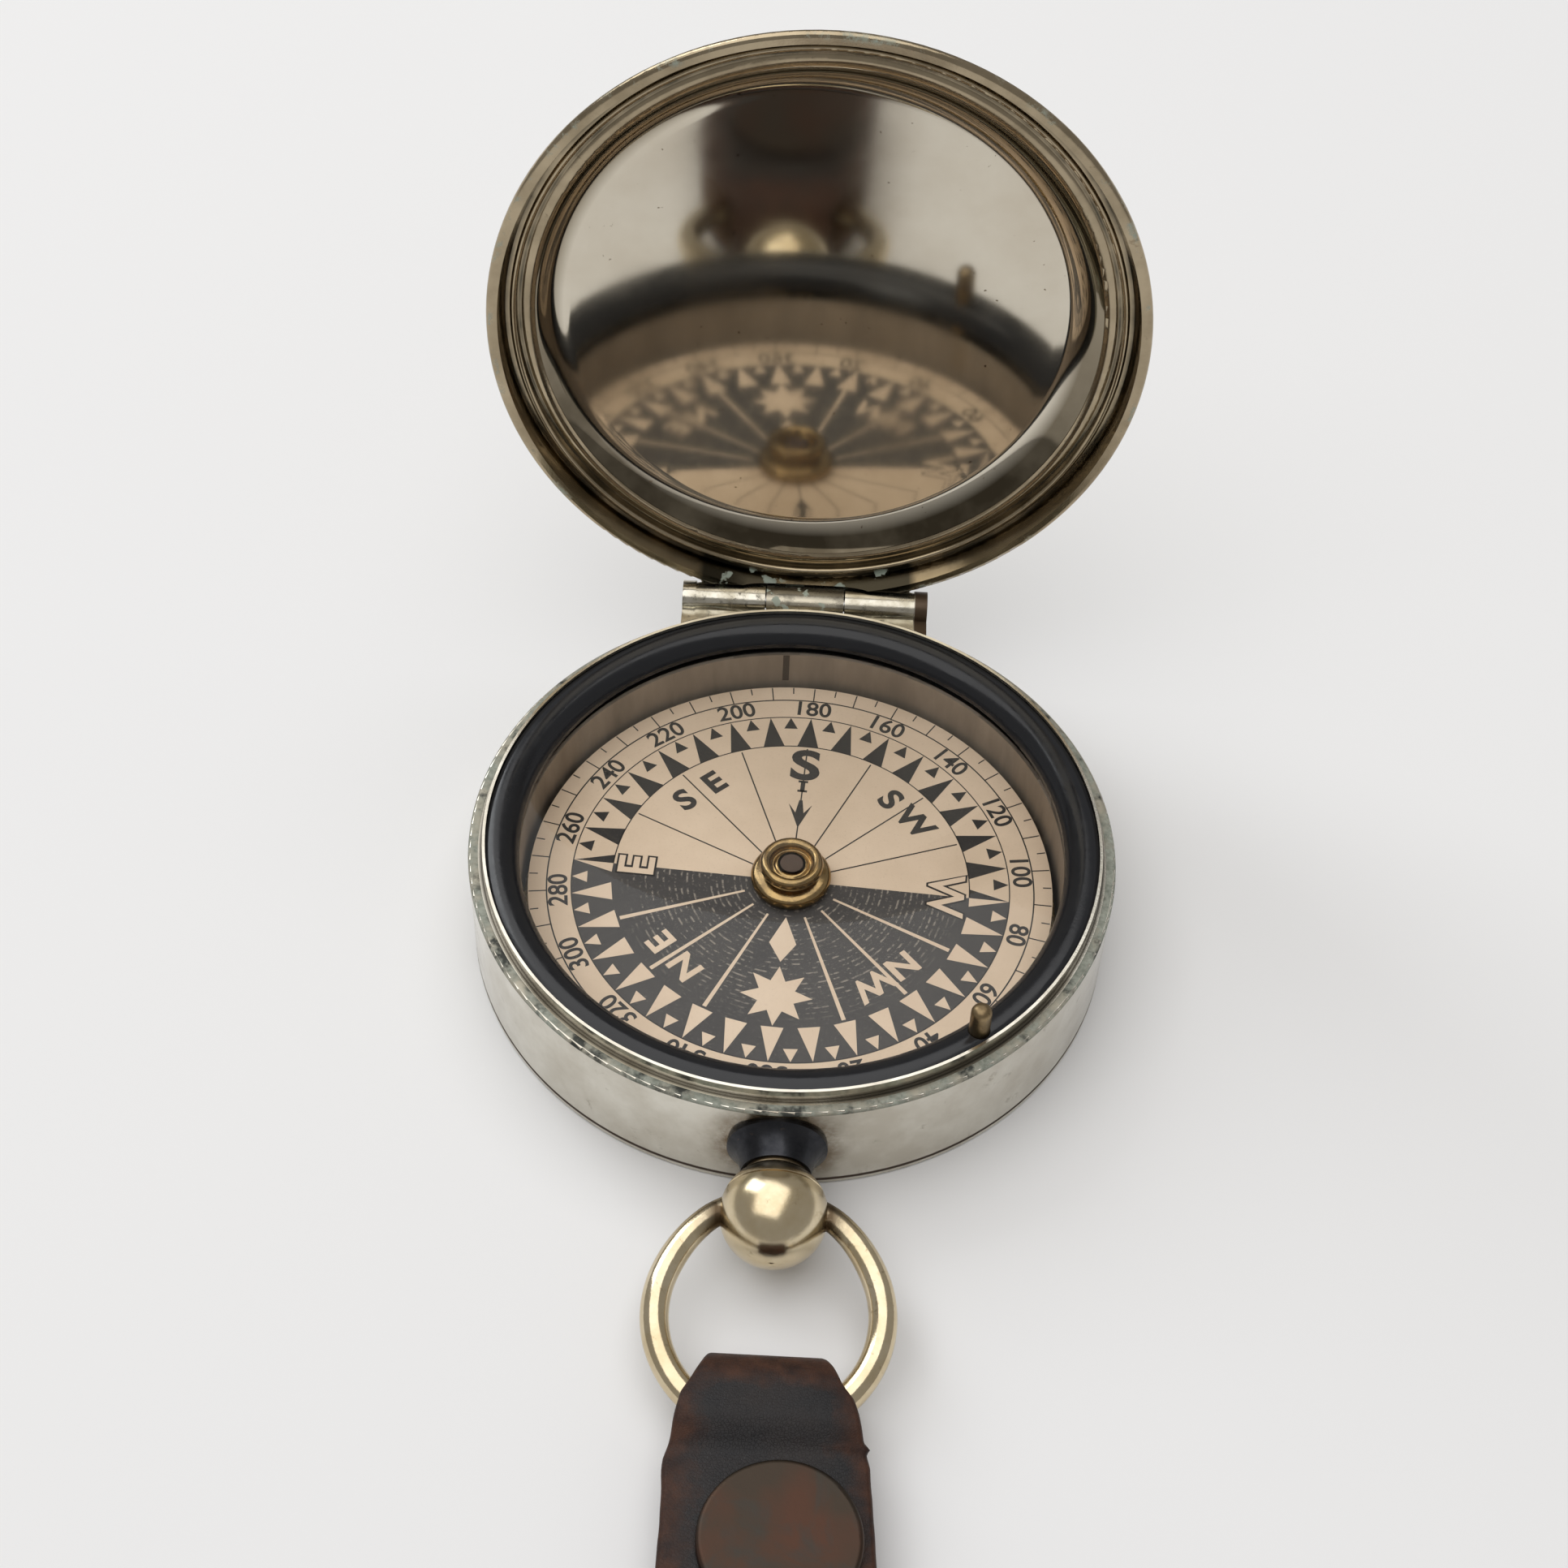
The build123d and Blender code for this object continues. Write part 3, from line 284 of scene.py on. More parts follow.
def green_residue():
    """Grey-green crust on the ledge, rubbed away in places to the dark metal."""
    made = Shader("residue_green")
    bare = made.range(made.noise(330.0, 6.0, 0.65), 0.46, 0.62)
    black = made.range(made.noise(520.0, 5.0, 0.6), 0.54, 0.64)
    flecks = made.range(made.noise(2200.0, 6.0, 0.7), 0.35, 0.65)
    crust = made.mix(flecks, (0.20, 0.215, 0.18), (0.38, 0.395, 0.34))
    colour = made.mix(black, made.mix(bare, crust, (0.40, 0.37, 0.30)), (0.055, 0.058, 0.052))
    made.set(base_color=colour, metallic=made.range(bare, 0.0, 1.0, 0.0, 0.7))
    made.set(roughness=made.range(bare, 0.0, 1.0, 0.80, 0.50), specular_ior_level=0.2)
    made.bump(made.noise(5200.0, 5.0, 0.7), 0.00001)
    return made.material


def lid_nickel():
    """Polished warm nickel with painted shade in the grooves and by the hinge, and green patches near the
    outer edge.
    """
    # Half width and fade of the painted shade beside the hinge, in millimetres.
    hinge_shade_half = 7.4
    hinge_shade_fade = 1.0
    made = Shader("nickel_lid")
    made.close_lid()
    colour, roughness = metal(
        made, (0.42, 0.345, 0.235), (0.29, 0.235, 0.155), (0.13, 0.095, 0.055), (0.09, 0.18), scratch=0.000002
    )
    from_axis = made.radius()
    # Painted shade in the rim's groove and valley, uneven along them.
    groove = made.band(from_axis, lip_radius + 0.45, 0.40)
    valley = made.band(from_axis, lip_radius - 0.58, 0.26)
    uneven = made.range(made.noise(300.0), 0.2, 0.6)
    groove_shade = made.math("MULTIPLY", made.math("MAXIMUM", groove, valley), uneven)
    # Painted shade on the rim beside the hinge, above the knuckles; pale green chips lie in it.
    aside = made.math("ABSOLUTE", made.axis("X"))
    middle = made.range(aside, hinge_shade_half * MM, (hinge_shade_half + hinge_shade_fade) * MM, 1.0, 0.0)
    by_hinge = made.math("MULTIPLY", middle, made.axis("Y"))
    wedge = made.math("ADD", from_axis, made.math("MULTIPLY", aside, 0.12))
    outside = made.range(wedge, (case_radius - 0.4) * MM, (case_radius - 0.1) * MM)
    hinge_shade = made.math("MULTIPLY", made.range(by_hinge, 0.0, 0.015), outside)
    # The painted shade of the grooves and of the hinge side share one dark colour.
    colour = made.mix(made.math("MAXIMUM", groove_shade, hinge_shade), colour, (0.060, 0.054, 0.040))
    outer = made.band(from_axis, case_radius + 0.35, 0.35)
    crust = made.range(made.noise(420.0, 8.0, 0.72), 0.54, 0.64)
    chips = made.math("MULTIPLY", hinge_shade, made.range(made.noise(560.0, 4.0, 0.5), 0.60, 0.63))
    green = made.math("MAXIMUM", made.math("MULTIPLY", outer, crust), chips)
    colour = made.mix(green, colour, (0.34, 0.39, 0.33))
    made.set(base_color=colour, metallic=made.range(green, 0.0, 1.0, 1.0, 0.1))
    made.set(roughness=made.math("ADD", roughness, made.range(green, 0.0, 1.0, 0.0, 0.5)))
    return made.material


def hinge_nickel():
    """Bright worn knuckles with black pits, brown below and on the right end cheek."""
    made = Shader("nickel_hinge")
    colour, roughness = metal(
        made, (0.64, 0.61, 0.53), (0.44, 0.40, 0.31), (0.07, 0.065, 0.05), (0.14, 0.28), 0.56, 620.0
    )
    cheek_fade = 0.1
    below = made.range(made.axis("Z"), hinge_point.z - 0.9 * MM, hinge_point.z - 0.3 * MM, 1.0, 0.0)
    beyond = made.range(made.axis("X"), cheek_start * MM, (cheek_start + cheek_fade) * MM)
    brown = made.math("MAXIMUM", below, beyond)
    colour = made.mix(brown, colour, (0.085, 0.055, 0.032))
    made.set(base_color=colour, metallic=made.range(brown, 0.0, 1.0, 1.0, 0.6))
    made.set(roughness=made.math("ADD", roughness, made.range(brown, 0.0, 1.0, 0.0, 0.2)))
    return made.material


def leaf_nickel():
    """Leaf darkened partly as tarnish and partly as painted shade, with chips of pale green crust, its
    knuckle worn pale.
    """
    made = Shader("nickel_leaf")
    # The dark base colours hold both tarnish and painted shade.
    colour, roughness = metal(
        made, (0.15, 0.135, 0.105), (0.085, 0.075, 0.058), (0.30, 0.27, 0.21), (0.22, 0.36), 0.60, 500.0
    )
    knuckle = made.range(made.axis("Z"), hinge_point.z + 1.0 * MM, hinge_point.z + 1.2 * MM, 1.0, 0.0)
    worn = made.math("MULTIPLY", knuckle, made.range(made.noise(480.0, 6.0, 0.65), 0.36, 0.48))
    colour = made.mix(worn, colour, (0.50, 0.455, 0.36))
    chips = made.range(made.noise(620.0, 5.0, 0.6), 0.60, 0.63)
    colour = made.mix(chips, colour, (0.46, 0.51, 0.42))
    made.set(base_color=colour, metallic=made.range(chips, 0.0, 1.0, 0.9, 0.0))
    made.set(roughness=made.math("ADD", roughness, made.range(chips, 0.0, 1.0, 0.0, 0.4)))
    return made.material


def mirror_nickel():
    """Bright mirror with a few specks, its wall given a painted dark reflection, darker and browner towards
    the hinge.
    """
    made = Shader("nickel_mirror")
    made.close_lid()
    cloud = made.range(made.noise(120.0, 6.0, 0.6), 0.35, 0.70)
    specks = made.range(made.noise(2400.0, 3.0, 0.5), 0.72, 0.76)
    colour = made.mix(cloud, (0.66, 0.61, 0.51), (0.58, 0.52, 0.42))
    # Painted dark reflection on the dish wall, deepest towards the hinge.
    wall_start = (dish_radius - 0.8 * dish_wall) * MM
    wall_end = (dish_radius - 0.4 * dish_wall) * MM
    patchy = made.range(made.noise(170.0, 4.0, 0.55), 0.34, 0.60, 0.45, 1.0)
    by_hinge = made.math("MULTIPLY", made.range(made.axis("Y"), -2.0 * MM, 11.0 * MM), patchy)
    wall = made.mix(by_hinge, (0.28, 0.24, 0.175), (0.072, 0.058, 0.038))
    colour = made.mix(made.range(made.radius(), wall_start, wall_end), colour, wall)
    made.set(base_color=made.mix(specks, colour, (0.16, 0.12, 0.08)), metallic=1.0)
    made.set(roughness=made.range(cloud, 0.0, 1.0, 0.045, 0.08))
    return made.material


def black_enamel():
    """Glossy black, chipped here and there along its edges."""
    made = Shader("enamel_black")
    chips = made.math("MULTIPLY", made.edge(0.0002), made.range(made.noise(900.0, 6.0, 0.65), 0.60, 0.68))
    made.set(base_color=made.mix(chips, (0.011, 0.012, 0.015), (0.16, 0.13, 0.09)), metallic=chips)
    made.set(roughness=made.range(made.noise(600.0, 6.0, 0.6), 0.3, 0.7, 0.12, 0.26))
    made.set(specular_ior_level=0.4)
    made.bump(made.noise(2500.0, 4.0, 0.6), 0.000006)
    return made.material


def buff_lining():
    """Streaked buff paper, with painted shade darkening it towards its foot."""
    made = Shader("lining_buff")
    streaks = made.noise(1.0, 4.0, 0.6, vector=made.stretched(500.0, 500.0, 120.0))
    # Painted shade: the lining darkens towards its foot, below the card's edge.
    foot = made.range(made.axis("Z"), 1.5 * MM, 7.2 * MM, 0.25, 0.85)
    streaks_and_shade = made.math("ADD", made.range(streaks, 0.3, 0.7, -0.18, 0.18), foot)
    made.set(base_color=made.mix(streaks_and_shade, (0.075, 0.058, 0.044), (0.36, 0.29, 0.22)), roughness=0.75)
    made.bump(streaks, 0.00003)
    return made.material


def clear_glass():
    """Only the sheen of the glass: the rest lets the card through."""
    made = Shader("glass_clear")
    sheen = made.node("Fresnel")
    sheen.inputs["IOR"].default_value = 1.3
    dust = made.range(made.noise(2600.0, 6.0, 0.7), 0.66, 0.80, 0.0, 0.03)
    front = made.range(made.node("NewGeometry").outputs["Backfacing"], 0.0, 1.0, 0.9, 0.0)
    made.set(base_color=(0.95, 0.97, 0.97), metallic=1.0, roughness=0.02)
    made.set(alpha=made.math("MULTIPLY", made.math("ADD", sheen.outputs[0], dust), front))
    return made.material


def dark_jewel():
    made = Shader("jewel_dark")
    colour = made.mix(made.noise(3000.0), (0.03, 0.014, 0.012), (0.06, 0.03, 0.02))
    made.set(base_color=colour, roughness=0.12)
    return made.material


def paper(name, pale, dark, speckle, amount, hatch=0.0):
    """Aged paper or ink; the hatch is broken fine rings where the paper shows, as in engraved print."""
    ring_spacing = 0.42
    hatch_radius = 10.5
    hatch_fade = 2.0
    made = Shader(name)
    age = made.range(made.noise(140.0, 6.0, 0.6), 0.35, 0.70)
    fibres = made.range(made.noise(5200.0, 4.0, 0.7), 0.58, 0.70, 0.0, amount)
    if hatch:
        rings = made.range(made.rings(ring_spacing), 0.66, 0.92)
        broken = made.range(made.noise(2100.0, 3.0, 0.6), 0.50, 0.62, 0.0, hatch)
        inside = made.range(made.radius(), hatch_radius * MM, (hatch_radius + hatch_fade) * MM, 1.0, 0.0)
        dashes = made.math("MULTIPLY", made.math("MULTIPLY", rings, broken), inside)
        fibres = made.math("MAXIMUM", fibres, dashes)
    made.set(base_color=made.mix(fibres, made.mix(age, pale, dark), speckle))
    made.set(roughness=0.78, specular_ior_level=0.25)
    made.bump(made.noise(3600.0, 4.0, 0.6), 0.00001)
    return made.material


def strap_leather():
    """Leather gone black and shiny on its face, brown where it is rubbed, rough inside."""
    made = Shader("leather_strap")
    flesh = made.attribute("flesh")
    patches = made.noise(260.0, 6.0, 0.65)
    rubbed = made.math("ADD", made.attribute("wear"), made.range(patches, 0.3, 0.7, -0.30, 0.30))
    worn = made.range(rubbed, 0.36, 0.80)
    black = made.mix(made.range(patches, 0.4, 0.7), (0.013, 0.012, 0.013), (0.022, 0.017, 0.016))
    shades = made.range(made.noise(800.0, 6.0, 0.6), 0.35, 0.65)
    brown = made.mix(shades, (0.062, 0.026, 0.015), (0.024, 0.011, 0.008))
    made.set(base_color=made.mix(flesh, made.mix(worn, black, brown), (0.13, 0.075, 0.045)))
    made.set(specular_ior_level=0.22)
    shine = made.range(worn, 0.0, 1.0, 0.30, 0.50)
    made.set(roughness=made.math("ADD", shine, made.range(flesh, 0.0, 1.0, 0.0, 0.25)))
    pores = made.range(made.cells(5200.0), 0.0, 0.12)
    creases = made.noise(1.0, 5.0, 0.6, vector=made.stretched(420.0, 1100.0, 420.0))
    made.bump(made.math("ADD", made.math("MULTIPLY", pores, 0.16), creases), 0.00005)
    return made.material


def ball_gold():
    """Pale gold, with painted shade in brown on the neck beside the collar."""
    made = Shader("gold_ball")
    colour, roughness = metal(made, *pale_gold)
    # Painted shade on the neck between the collar and the ball.
    neck = made.range(made.axis("Y"), ball_centre.y + 2.3 * MM, ball_centre.y + 2.9 * MM)
    made.set(base_color=made.mix(neck, colour, (0.105, 0.074, 0.042)), metallic=1.0)
    made.set(roughness=made.math("ADD", roughness, made.range(neck, 0.0, 1.0, 0.07, 0.28)))
    return made.material


def bow_gold():
    """Pale gold, with painted shade in dark brown at the ends beside the ball."""
    made = Shader("gold_bow")
    colour, roughness = metal(made, *pale_gold)
    # Painted shade where the wire's ends meet the ball.
    patchy = made.range(made.noise(700.0, 5.0, 0.6), 0.25, 0.50)
    ends = made.math("MULTIPLY", made.near(ball_centre, 3.8, 5.4), patchy)
    made.set(base_color=made.mix(ends, colour, (0.10, 0.07, 0.042)), metallic=1.0)
    made.set(roughness=made.math("ADD", roughness, made.range(ends, 0.0, 1.0, 0.0, 0.22)))
    return made.material


def snap_copper():
    """Dark copper brown with redder and greener clouds, and a painted golden highlight along the edge."""
    made = Shader("copper_snap")
    clouds = made.range(made.noise(150.0, 3.0, 0.5), 0.40, 0.60)
    green = made.range(made.noise(190.0, 4.0, 0.55, distortion=0.6), 0.50, 0.66)
    colour = made.mix(clouds, (0.078, 0.042, 0.030), (0.056, 0.043, 0.033))
    colour = made.mix(green, colour, (0.036, 0.039, 0.034))
    # Painted highlight: a golden, smoother band along the edges.
    rubbed = made.math("MULTIPLY", made.edge(0.0003), made.range(made.noise(260.0), 0.46, 0.62))
    colour = made.mix(rubbed, colour, (0.40, 0.29, 0.15))
    made.set(base_color=colour, metallic=made.range(green, 0.0, 1.0, 1.0, 0.7))
    made.set(roughness=made.range(rubbed, 0.0, 1.0, 0.46, 0.25))
    made.bump(made.noise(1600.0, 5.0, 0.6), 0.000012)
    return made.material


pale_gold = ((0.72, 0.62, 0.44), (0.60, 0.49, 0.31), (0.28, 0.19, 0.09), (0.08, 0.16), 0.60, 420.0)
brass_aged = plain_metal(
    "brass_aged", (0.54, 0.40, 0.20), (0.36, 0.25, 0.11), (0.08, 0.055, 0.03), (0.18, 0.32), 0.58, 900.0
)
steel = plain_metal(
    "steel_plain", (0.50, 0.50, 0.50), (0.42, 0.42, 0.42), (0.20, 0.16, 0.12), (0.22, 0.32), 0.64, 900.0
)
hub_bronze = plain_metal(
    "brass_hub", (0.42, 0.29, 0.13), (0.22, 0.155, 0.08), (0.06, 0.045, 0.03), (0.14, 0.24), 0.60, 700.0
)
post_brass = plain_metal(
    "brass_brown", (0.30, 0.22, 0.12), (0.20, 0.145, 0.08), (0.07, 0.05, 0.03), (0.32, 0.44), 0.58, 900.0
)
dark_brass = plain_metal(
    "brass_black", (0.046, 0.047, 0.052), (0.026, 0.027, 0.031), (0.12, 0.09, 0.06), (0.26, 0.40), 0.64, 800.0
)
card_sheet = plain_metal(
    "sheet_plain", (0.62, 0.62, 0.60), (0.52, 0.52, 0.50), (0.36, 0.34, 0.30), (0.30, 0.42)
)
buff_paper = paper("paper_buff", (0.77, 0.61, 0.45), (0.68, 0.53, 0.38), (0.52, 0.39, 0.27), 0.35)
buff_ink = paper("print_buff", (0.79, 0.63, 0.47), (0.71, 0.55, 0.40), (0.52, 0.39, 0.27), 0.35)
dark_ink = paper("print_dark", (0.030, 0.028, 0.027), (0.048, 0.044, 0.040), (0.16, 0.12, 0.09), 0.25)
line_brown = paper("line_brown", (0.060, 0.042, 0.031), (0.090, 0.065, 0.048), (0.14, 0.10, 0.07), 0.5)
charcoal = paper(
    "print_charcoal", (0.062, 0.058, 0.056), (0.086, 0.080, 0.075), (0.34, 0.30, 0.25), 0.3, hatch=0.75
)
copper = snap_copper()
bow_metal = bow_gold()
node_materials = {
    case_nickel(): ["case_body", "case_back"],
    lid_nickel(): ["lid_rim"],
    leaf_nickel(): ["lid_leaf"],
    hinge_nickel(): ["hinge_block"],
    black_enamel(): ["bezel_ring"],
    buff_lining(): ["liner_ring"],
    clear_glass(): ["cover_glass"],
    dark_jewel(): ["cap_jewel"],
    card_sheet: ["card_disc"],
    buff_paper: ["card_face"],
    brass_aged: [
        "cap_nut", "lift_collar", "plunger_bush", "lock_lever",
        "lever_bracket", "base_plate", "pivot_post", "magnet_rivets", "pendant_nut",
    ],
    steel: [
        "pivot_needle", "magnet_left", "magnet_right", "fulcrum_pin", "bracket_screws",
        "lever_spring", "hinge_pin",
    ],
    hub_bronze: ["card_cap"],
    post_brass: ["lock_plunger"],
    ball_gold(): ["pendant_ball"],
    bow_metal: ["bow_ring"],
    dark_brass: ["pendant_collar"],
    copper: ["snap_cap", "snap_socket", "snap_stud", "snap_back"],
}
for material, names in node_materials.items():
    for name in names:
        slots = frame["nodes"][name].data.materials
        slots.clear()
        slots.append(material)


def finish_mesh(work, name):
    bmesh.ops.recalc_face_normals(work, faces=work.faces)
    mesh = bpy.data.meshes.new(name)
    work.to_mesh(mesh)
    work.free()
    return mesh


def place_mesh(name, mesh, material, body, smooth=True):
    part = bpy.data.objects.new(name, mesh)
    bpy.context.scene.collection.objects.link(part)
    for face in mesh.polygons:
        face.use_smooth = smooth
    mesh.materials.clear()
    mesh.materials.append(material)
    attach(part, body)
    return part


def add_prism(work, outline, low, high):
    """A flat plate between two heights, its outline given as points in millimetres."""
    bottom = [work.verts.new((x * MM, y * MM, low * MM)) for x, y in outline]
    top = [work.verts.new((x * MM, y * MM, high * MM)) for x, y in outline]
    work.faces.new(bottom[::-1])
    work.faces.new(top)
    count = len(outline)
    for i in range(count):
        j = (i + 1) % count
        work.faces.new((bottom[i], bottom[j], top[j], top[i]))


def add_arc(work, inner, outer, start, end, low, high, steps):
    """A flat ring or part of one, between two radii and two angles in degrees."""
    whole = abs(end - start) >= 360
    rows = []
    for i in range(steps if whole else steps + 1):
        angle = math.radians(start + (end - start) * i / steps)
        c = math.cos(angle)
        s = math.sin(angle)
        spots = ((inner, low), (outer, low), (outer, high), (inner, high))
        rows.append([work.verts.new((r * c * MM, r * s * MM, z * MM)) for r, z in spots])
    links = len(rows) if whole else len(rows) - 1
    for i in range(links):
        a = rows[i]
        b = rows[(i + 1) % len(rows)]
        for k in range(4):
            work.faces.new((a[k], a[(k + 1) % 4], b[(k + 1) % 4], b[k]))
    if not whole:
        work.faces.new(rows[0][::-1])
        work.faces.new(rows[-1])


def turned(name, profile, steps):
    """A closed turned shape from a closed profile of (radius, height) points in millimetres."""
    work = bmesh.new()
    rings = []
    for radius, height in profile:
        spots = steps if radius > 1e-6 else 1
        turns = [2 * math.pi * i / steps for i in range(spots)]
        ring = [(radius * math.cos(t) * MM, radius * math.sin(t) * MM, height * MM) for t in turns]
        rings.append([work.verts.new(spot) for spot in ring])
    for a, b in zip(rings, rings[1:] + rings[:1]):
        for i in range(steps):
            corners = []
            for ring, k in ((a, i), (a, i + 1), (b, i + 1), (b, i)):
                vert = ring[k % len(ring)]
                if vert not in corners:
                    corners.append(vert)
            if len(corners) > 2:
                work.faces.new(corners)
    return finish_mesh(work, name)


def arc_points(centre, radius, start, end, steps):
    """Points of an arc; the angles are in degrees from the Z axis."""
    points = []
    for i in range(steps + 1):
        angle = math.radians(start + (end - start) * i / steps)
        points.append((centre[0] + radius * math.sin(angle), centre[1] + radius * math.cos(angle)))
    return points


# Lid dish, turned smooth so that it mirrors cleanly: a shallow bowl, a little out of true, and a round wall
dish_slope = 45.0
dish_foot = lid_face + 1.8
dish_thickness = 0.45
dish_twist = math.tan(math.radians(1.4))
dish_tip = math.tan(math.radians(0.7))
bowl_sphere = 400.0
bowl_steps = 24
wall_steps = 28
bowl_angle = math.degrees(math.asin((dish_radius - dish_wall) / bowl_sphere))
wall_round = dish_wall / (math.sin(math.radians(dish_slope)) - math.sin(math.radians(bowl_angle)))
wall_centre = (
    dish_radius - wall_round * math.sin(math.radians(dish_slope)),
    dish_foot - wall_round * math.cos(math.radians(dish_slope)),
)
bowl_centre = (0, wall_centre[1] - (bowl_sphere - wall_round) * math.cos(math.radians(bowl_angle)))
under = arc_points(bowl_centre, bowl_sphere, 0, bowl_angle, bowl_steps)
under += arc_points(wall_centre, wall_round, bowl_angle, dish_slope, wall_steps)[1:]
over = arc_points(wall_centre, wall_round + dish_thickness, dish_slope, bowl_angle, wall_steps)
over += arc_points(bowl_centre, bowl_sphere + dish_thickness, bowl_angle, 0, bowl_steps)[1:]
dish_mesh = turned("lid_dish", under + over, steps=192)
for vert in dish_mesh.vertices:
    reach = vert.co.to_2d().length / MM
    share = clamp((dish_radius - reach) / dish_wall)
    vert.co.z += (vert.co.x * dish_twist + vert.co.y * dish_tip) * eased(share)
dish_mesh.transform(lid_closing.inverted())
lid_dish = place_mesh("lid_dish", dish_mesh, mirror_nickel(), "lid")
dish_mesh.set_sharp_from_angle(angle=math.radians(40))
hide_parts("lid_dome")


def rounded(points):
    """The same run of points with its corners cut twice."""
    for repeat in range(2):
        cut = [points[0]]
        for (ax, ay), (bx, by) in zip(points, points[1:]):
            cut.append((ax * 0.75 + bx * 0.25, ay * 0.75 + by * 0.25))
            cut.append((ax * 0.25 + bx * 0.75, ay * 0.25 + by * 0.75))
        points = cut + [points[-1]]
    return points


# Hub of the card: flange with a sunk ring round the hole, waist and bulb, as radius and drop from its top
hub_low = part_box("card_cap")[0].z / MM
hub_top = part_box("card_cap")[1].z / MM
jewel_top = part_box("cap_jewel")[1].z / MM
bore_end = jewel_top - 1.4
bore_radius = 1.4
jewel_radius = 1.0
mouth_radius = 0.8
spigot_radius = 1.9
hub_curve = (
    (mouth_radius, 0.80), (mouth_radius, 0.55), (0.92, 0.45), (1.10, 0.45), (1.25, 0.58), (1.40, 0.58),
    (1.48, 0.20), (1.70, 0.0), (2.00, 0.0), (2.25, 0.25), (2.25, 0.60), (2.05, 0.82), (1.85, 0.95),
    (1.85, 1.12), (2.20, 1.20), (2.62, 1.32), (2.85, 1.60), (2.85, 1.95), (2.72, 2.20),
    (2.57, hub_top - card_top),
)
hub_profile = [(bore_radius, hub_low), (bore_radius, bore_end), (jewel_radius, bore_end)]
hub_profile += [(jewel_radius, jewel_top), (mouth_radius, jewel_top)]
hub_profile += rounded([(radius, hub_top - drop) for radius, drop in hub_curve])
hub_profile += [(spigot_radius, card_top), (spigot_radius, hub_low)]
hub_mesh = turned("card_hub", hub_profile, steps=96)
card_hub = place_mesh("card_hub", hub_mesh, hub_bronze, "card")
hub_mesh.set_sharp_from_angle(angle=math.radians(40))
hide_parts("card_cap")

# Residue on the ledge's outer edge, its surface made uneven by a broad and a fine noise
broad_bump = 0.014
fine_bump = 0.003
skin_low = ledge_height - 0.28
residue_curve = rounded([
    (lip_radius + 0.30, ledge_height - 0.02), (lip_radius + 0.36, ledge_height + 0.025),
    (case_radius - 0.16, ledge_height + 0.025), (case_radius + 0.02, ledge_height - 0.10),
    (case_radius + 0.02, skin_low), (case_radius - 0.05, skin_low - 0.03),
])
residue_mesh = turned("ledge_residue", residue_curve + [(case_radius - 0.3, ledge_height - 0.2)], steps=480)
for vert in residue_mesh.vertices:
    vert.co.z += (noise.noise(vert.co * 170) * broad_bump + noise.noise(vert.co * 900) * fine_bump) * MM
place_mesh("ledge_residue", residue_mesh, green_residue(), "case")

# Print on the card: degrees run from the pendant side, anticlockwise seen from above
heading = -3.43
scale_radius = 17.28
band_radius = 15.55
tooth_radius = 12.70
tooth_count = 32
tooth_half = 3.5
small_depth = 1.12
small_half = 0.50
tick_width = 0.09
scale_line = 0.05
thin_line = 0.04
edge_margin = 0.06
ray_margin = 0.2
border_cosine = 0.02
south = 180
ink_low = card_top
half_high = card_top + 0.008
ink_high = card_top + 0.012
over_high = card_top + 0.020
letter_high = card_top + 0.026


def spot(radius, degrees, aside=0.0):
    """A point on the card from its radius, printed degrees and a step to the left of the radius."""
    angle = math.radians(heading - 90 + degrees)
    c = math.cos(angle)
    s = math.sin(angle)
    return (radius * c - aside * s, radius * s + aside * c)


def add_bar(work, inner, outer, degrees, wide_in, wide_out, low, high):
    outline = [
        spot(inner, degrees, -wide_in / 2),
        spot(outer, degrees, -wide_out / 2),
        spot(outer, degrees, wide_out / 2),
        spot(inner, degrees, wide_in / 2),
    ]
    add_prism(work, outline, low, high)


def on_dark_half(degrees):
    return math.cos(math.radians(degrees)) > border_cosine


def on_border(degrees):
    return abs(math.cos(math.radians(degrees))) < border_cosine


dark_work = bmesh.new()
buff_work = bmesh.new()
half_work = bmesh.new()
add_arc(half_work, 2.0, band_radius, heading - 180, heading, ink_low, half_high, 120)
for degrees in range(0, 360, 5):
    length = 1.0 if degrees % 10 == 0 else 0.5
    inner = card_radius - (card_radius - scale_radius) * length
    add_bar(dark_work, inner, card_radius - edge_margin, degrees, tick_width, tick_width, ink_low, ink_high)
for radius, half_line, start, end in (
    (scale_radius, scale_line, 0, 360),
    (band_radius, thin_line, 0, 360),
    (tooth_radius, thin_line, heading, heading + 180),
):
    steps = (end - start) / 2
    add_arc(dark_work, radius - half_line, radius + half_line, start, end, ink_low, ink_high, round(steps))
half_base = tooth_radius * math.tan(math.radians(tooth_half))
for k in range(tooth_count):
    degrees = k * 360 / tooth_count
    tip = spot(band_radius - thin_line, degrees)
    left = spot(tooth_radius, degrees, half_base)
    right = spot(tooth_radius, degrees, -half_base)
    middle = spot(tooth_radius, degrees)
    if on_border(degrees):
        light_side, dark_side = (left, right) if degrees < 180 else (right, left)
        add_prism(dark_work, [middle, tip, light_side], ink_low, ink_high)
        add_prism(buff_work, [middle, tip, dark_side], ink_low, over_high)
    elif on_dark_half(degrees):
        add_prism(buff_work, [right, tip, left], ink_low, over_high)
    else:
        add_prism(dark_work, [right, tip, left], ink_low, ink_high)
    between = degrees + 180 / tooth_count
    small = [
        spot(band_radius - small_depth, between, -small_half),
        spot(band_radius - edge_margin, between),
        spot(band_radius - small_depth, between, small_half),
    ]
    if on_dark_half(between):
        add_prism(buff_work, small, ink_low, over_high)
    else:
        add_prism(dark_work, small, ink_low, ink_high)
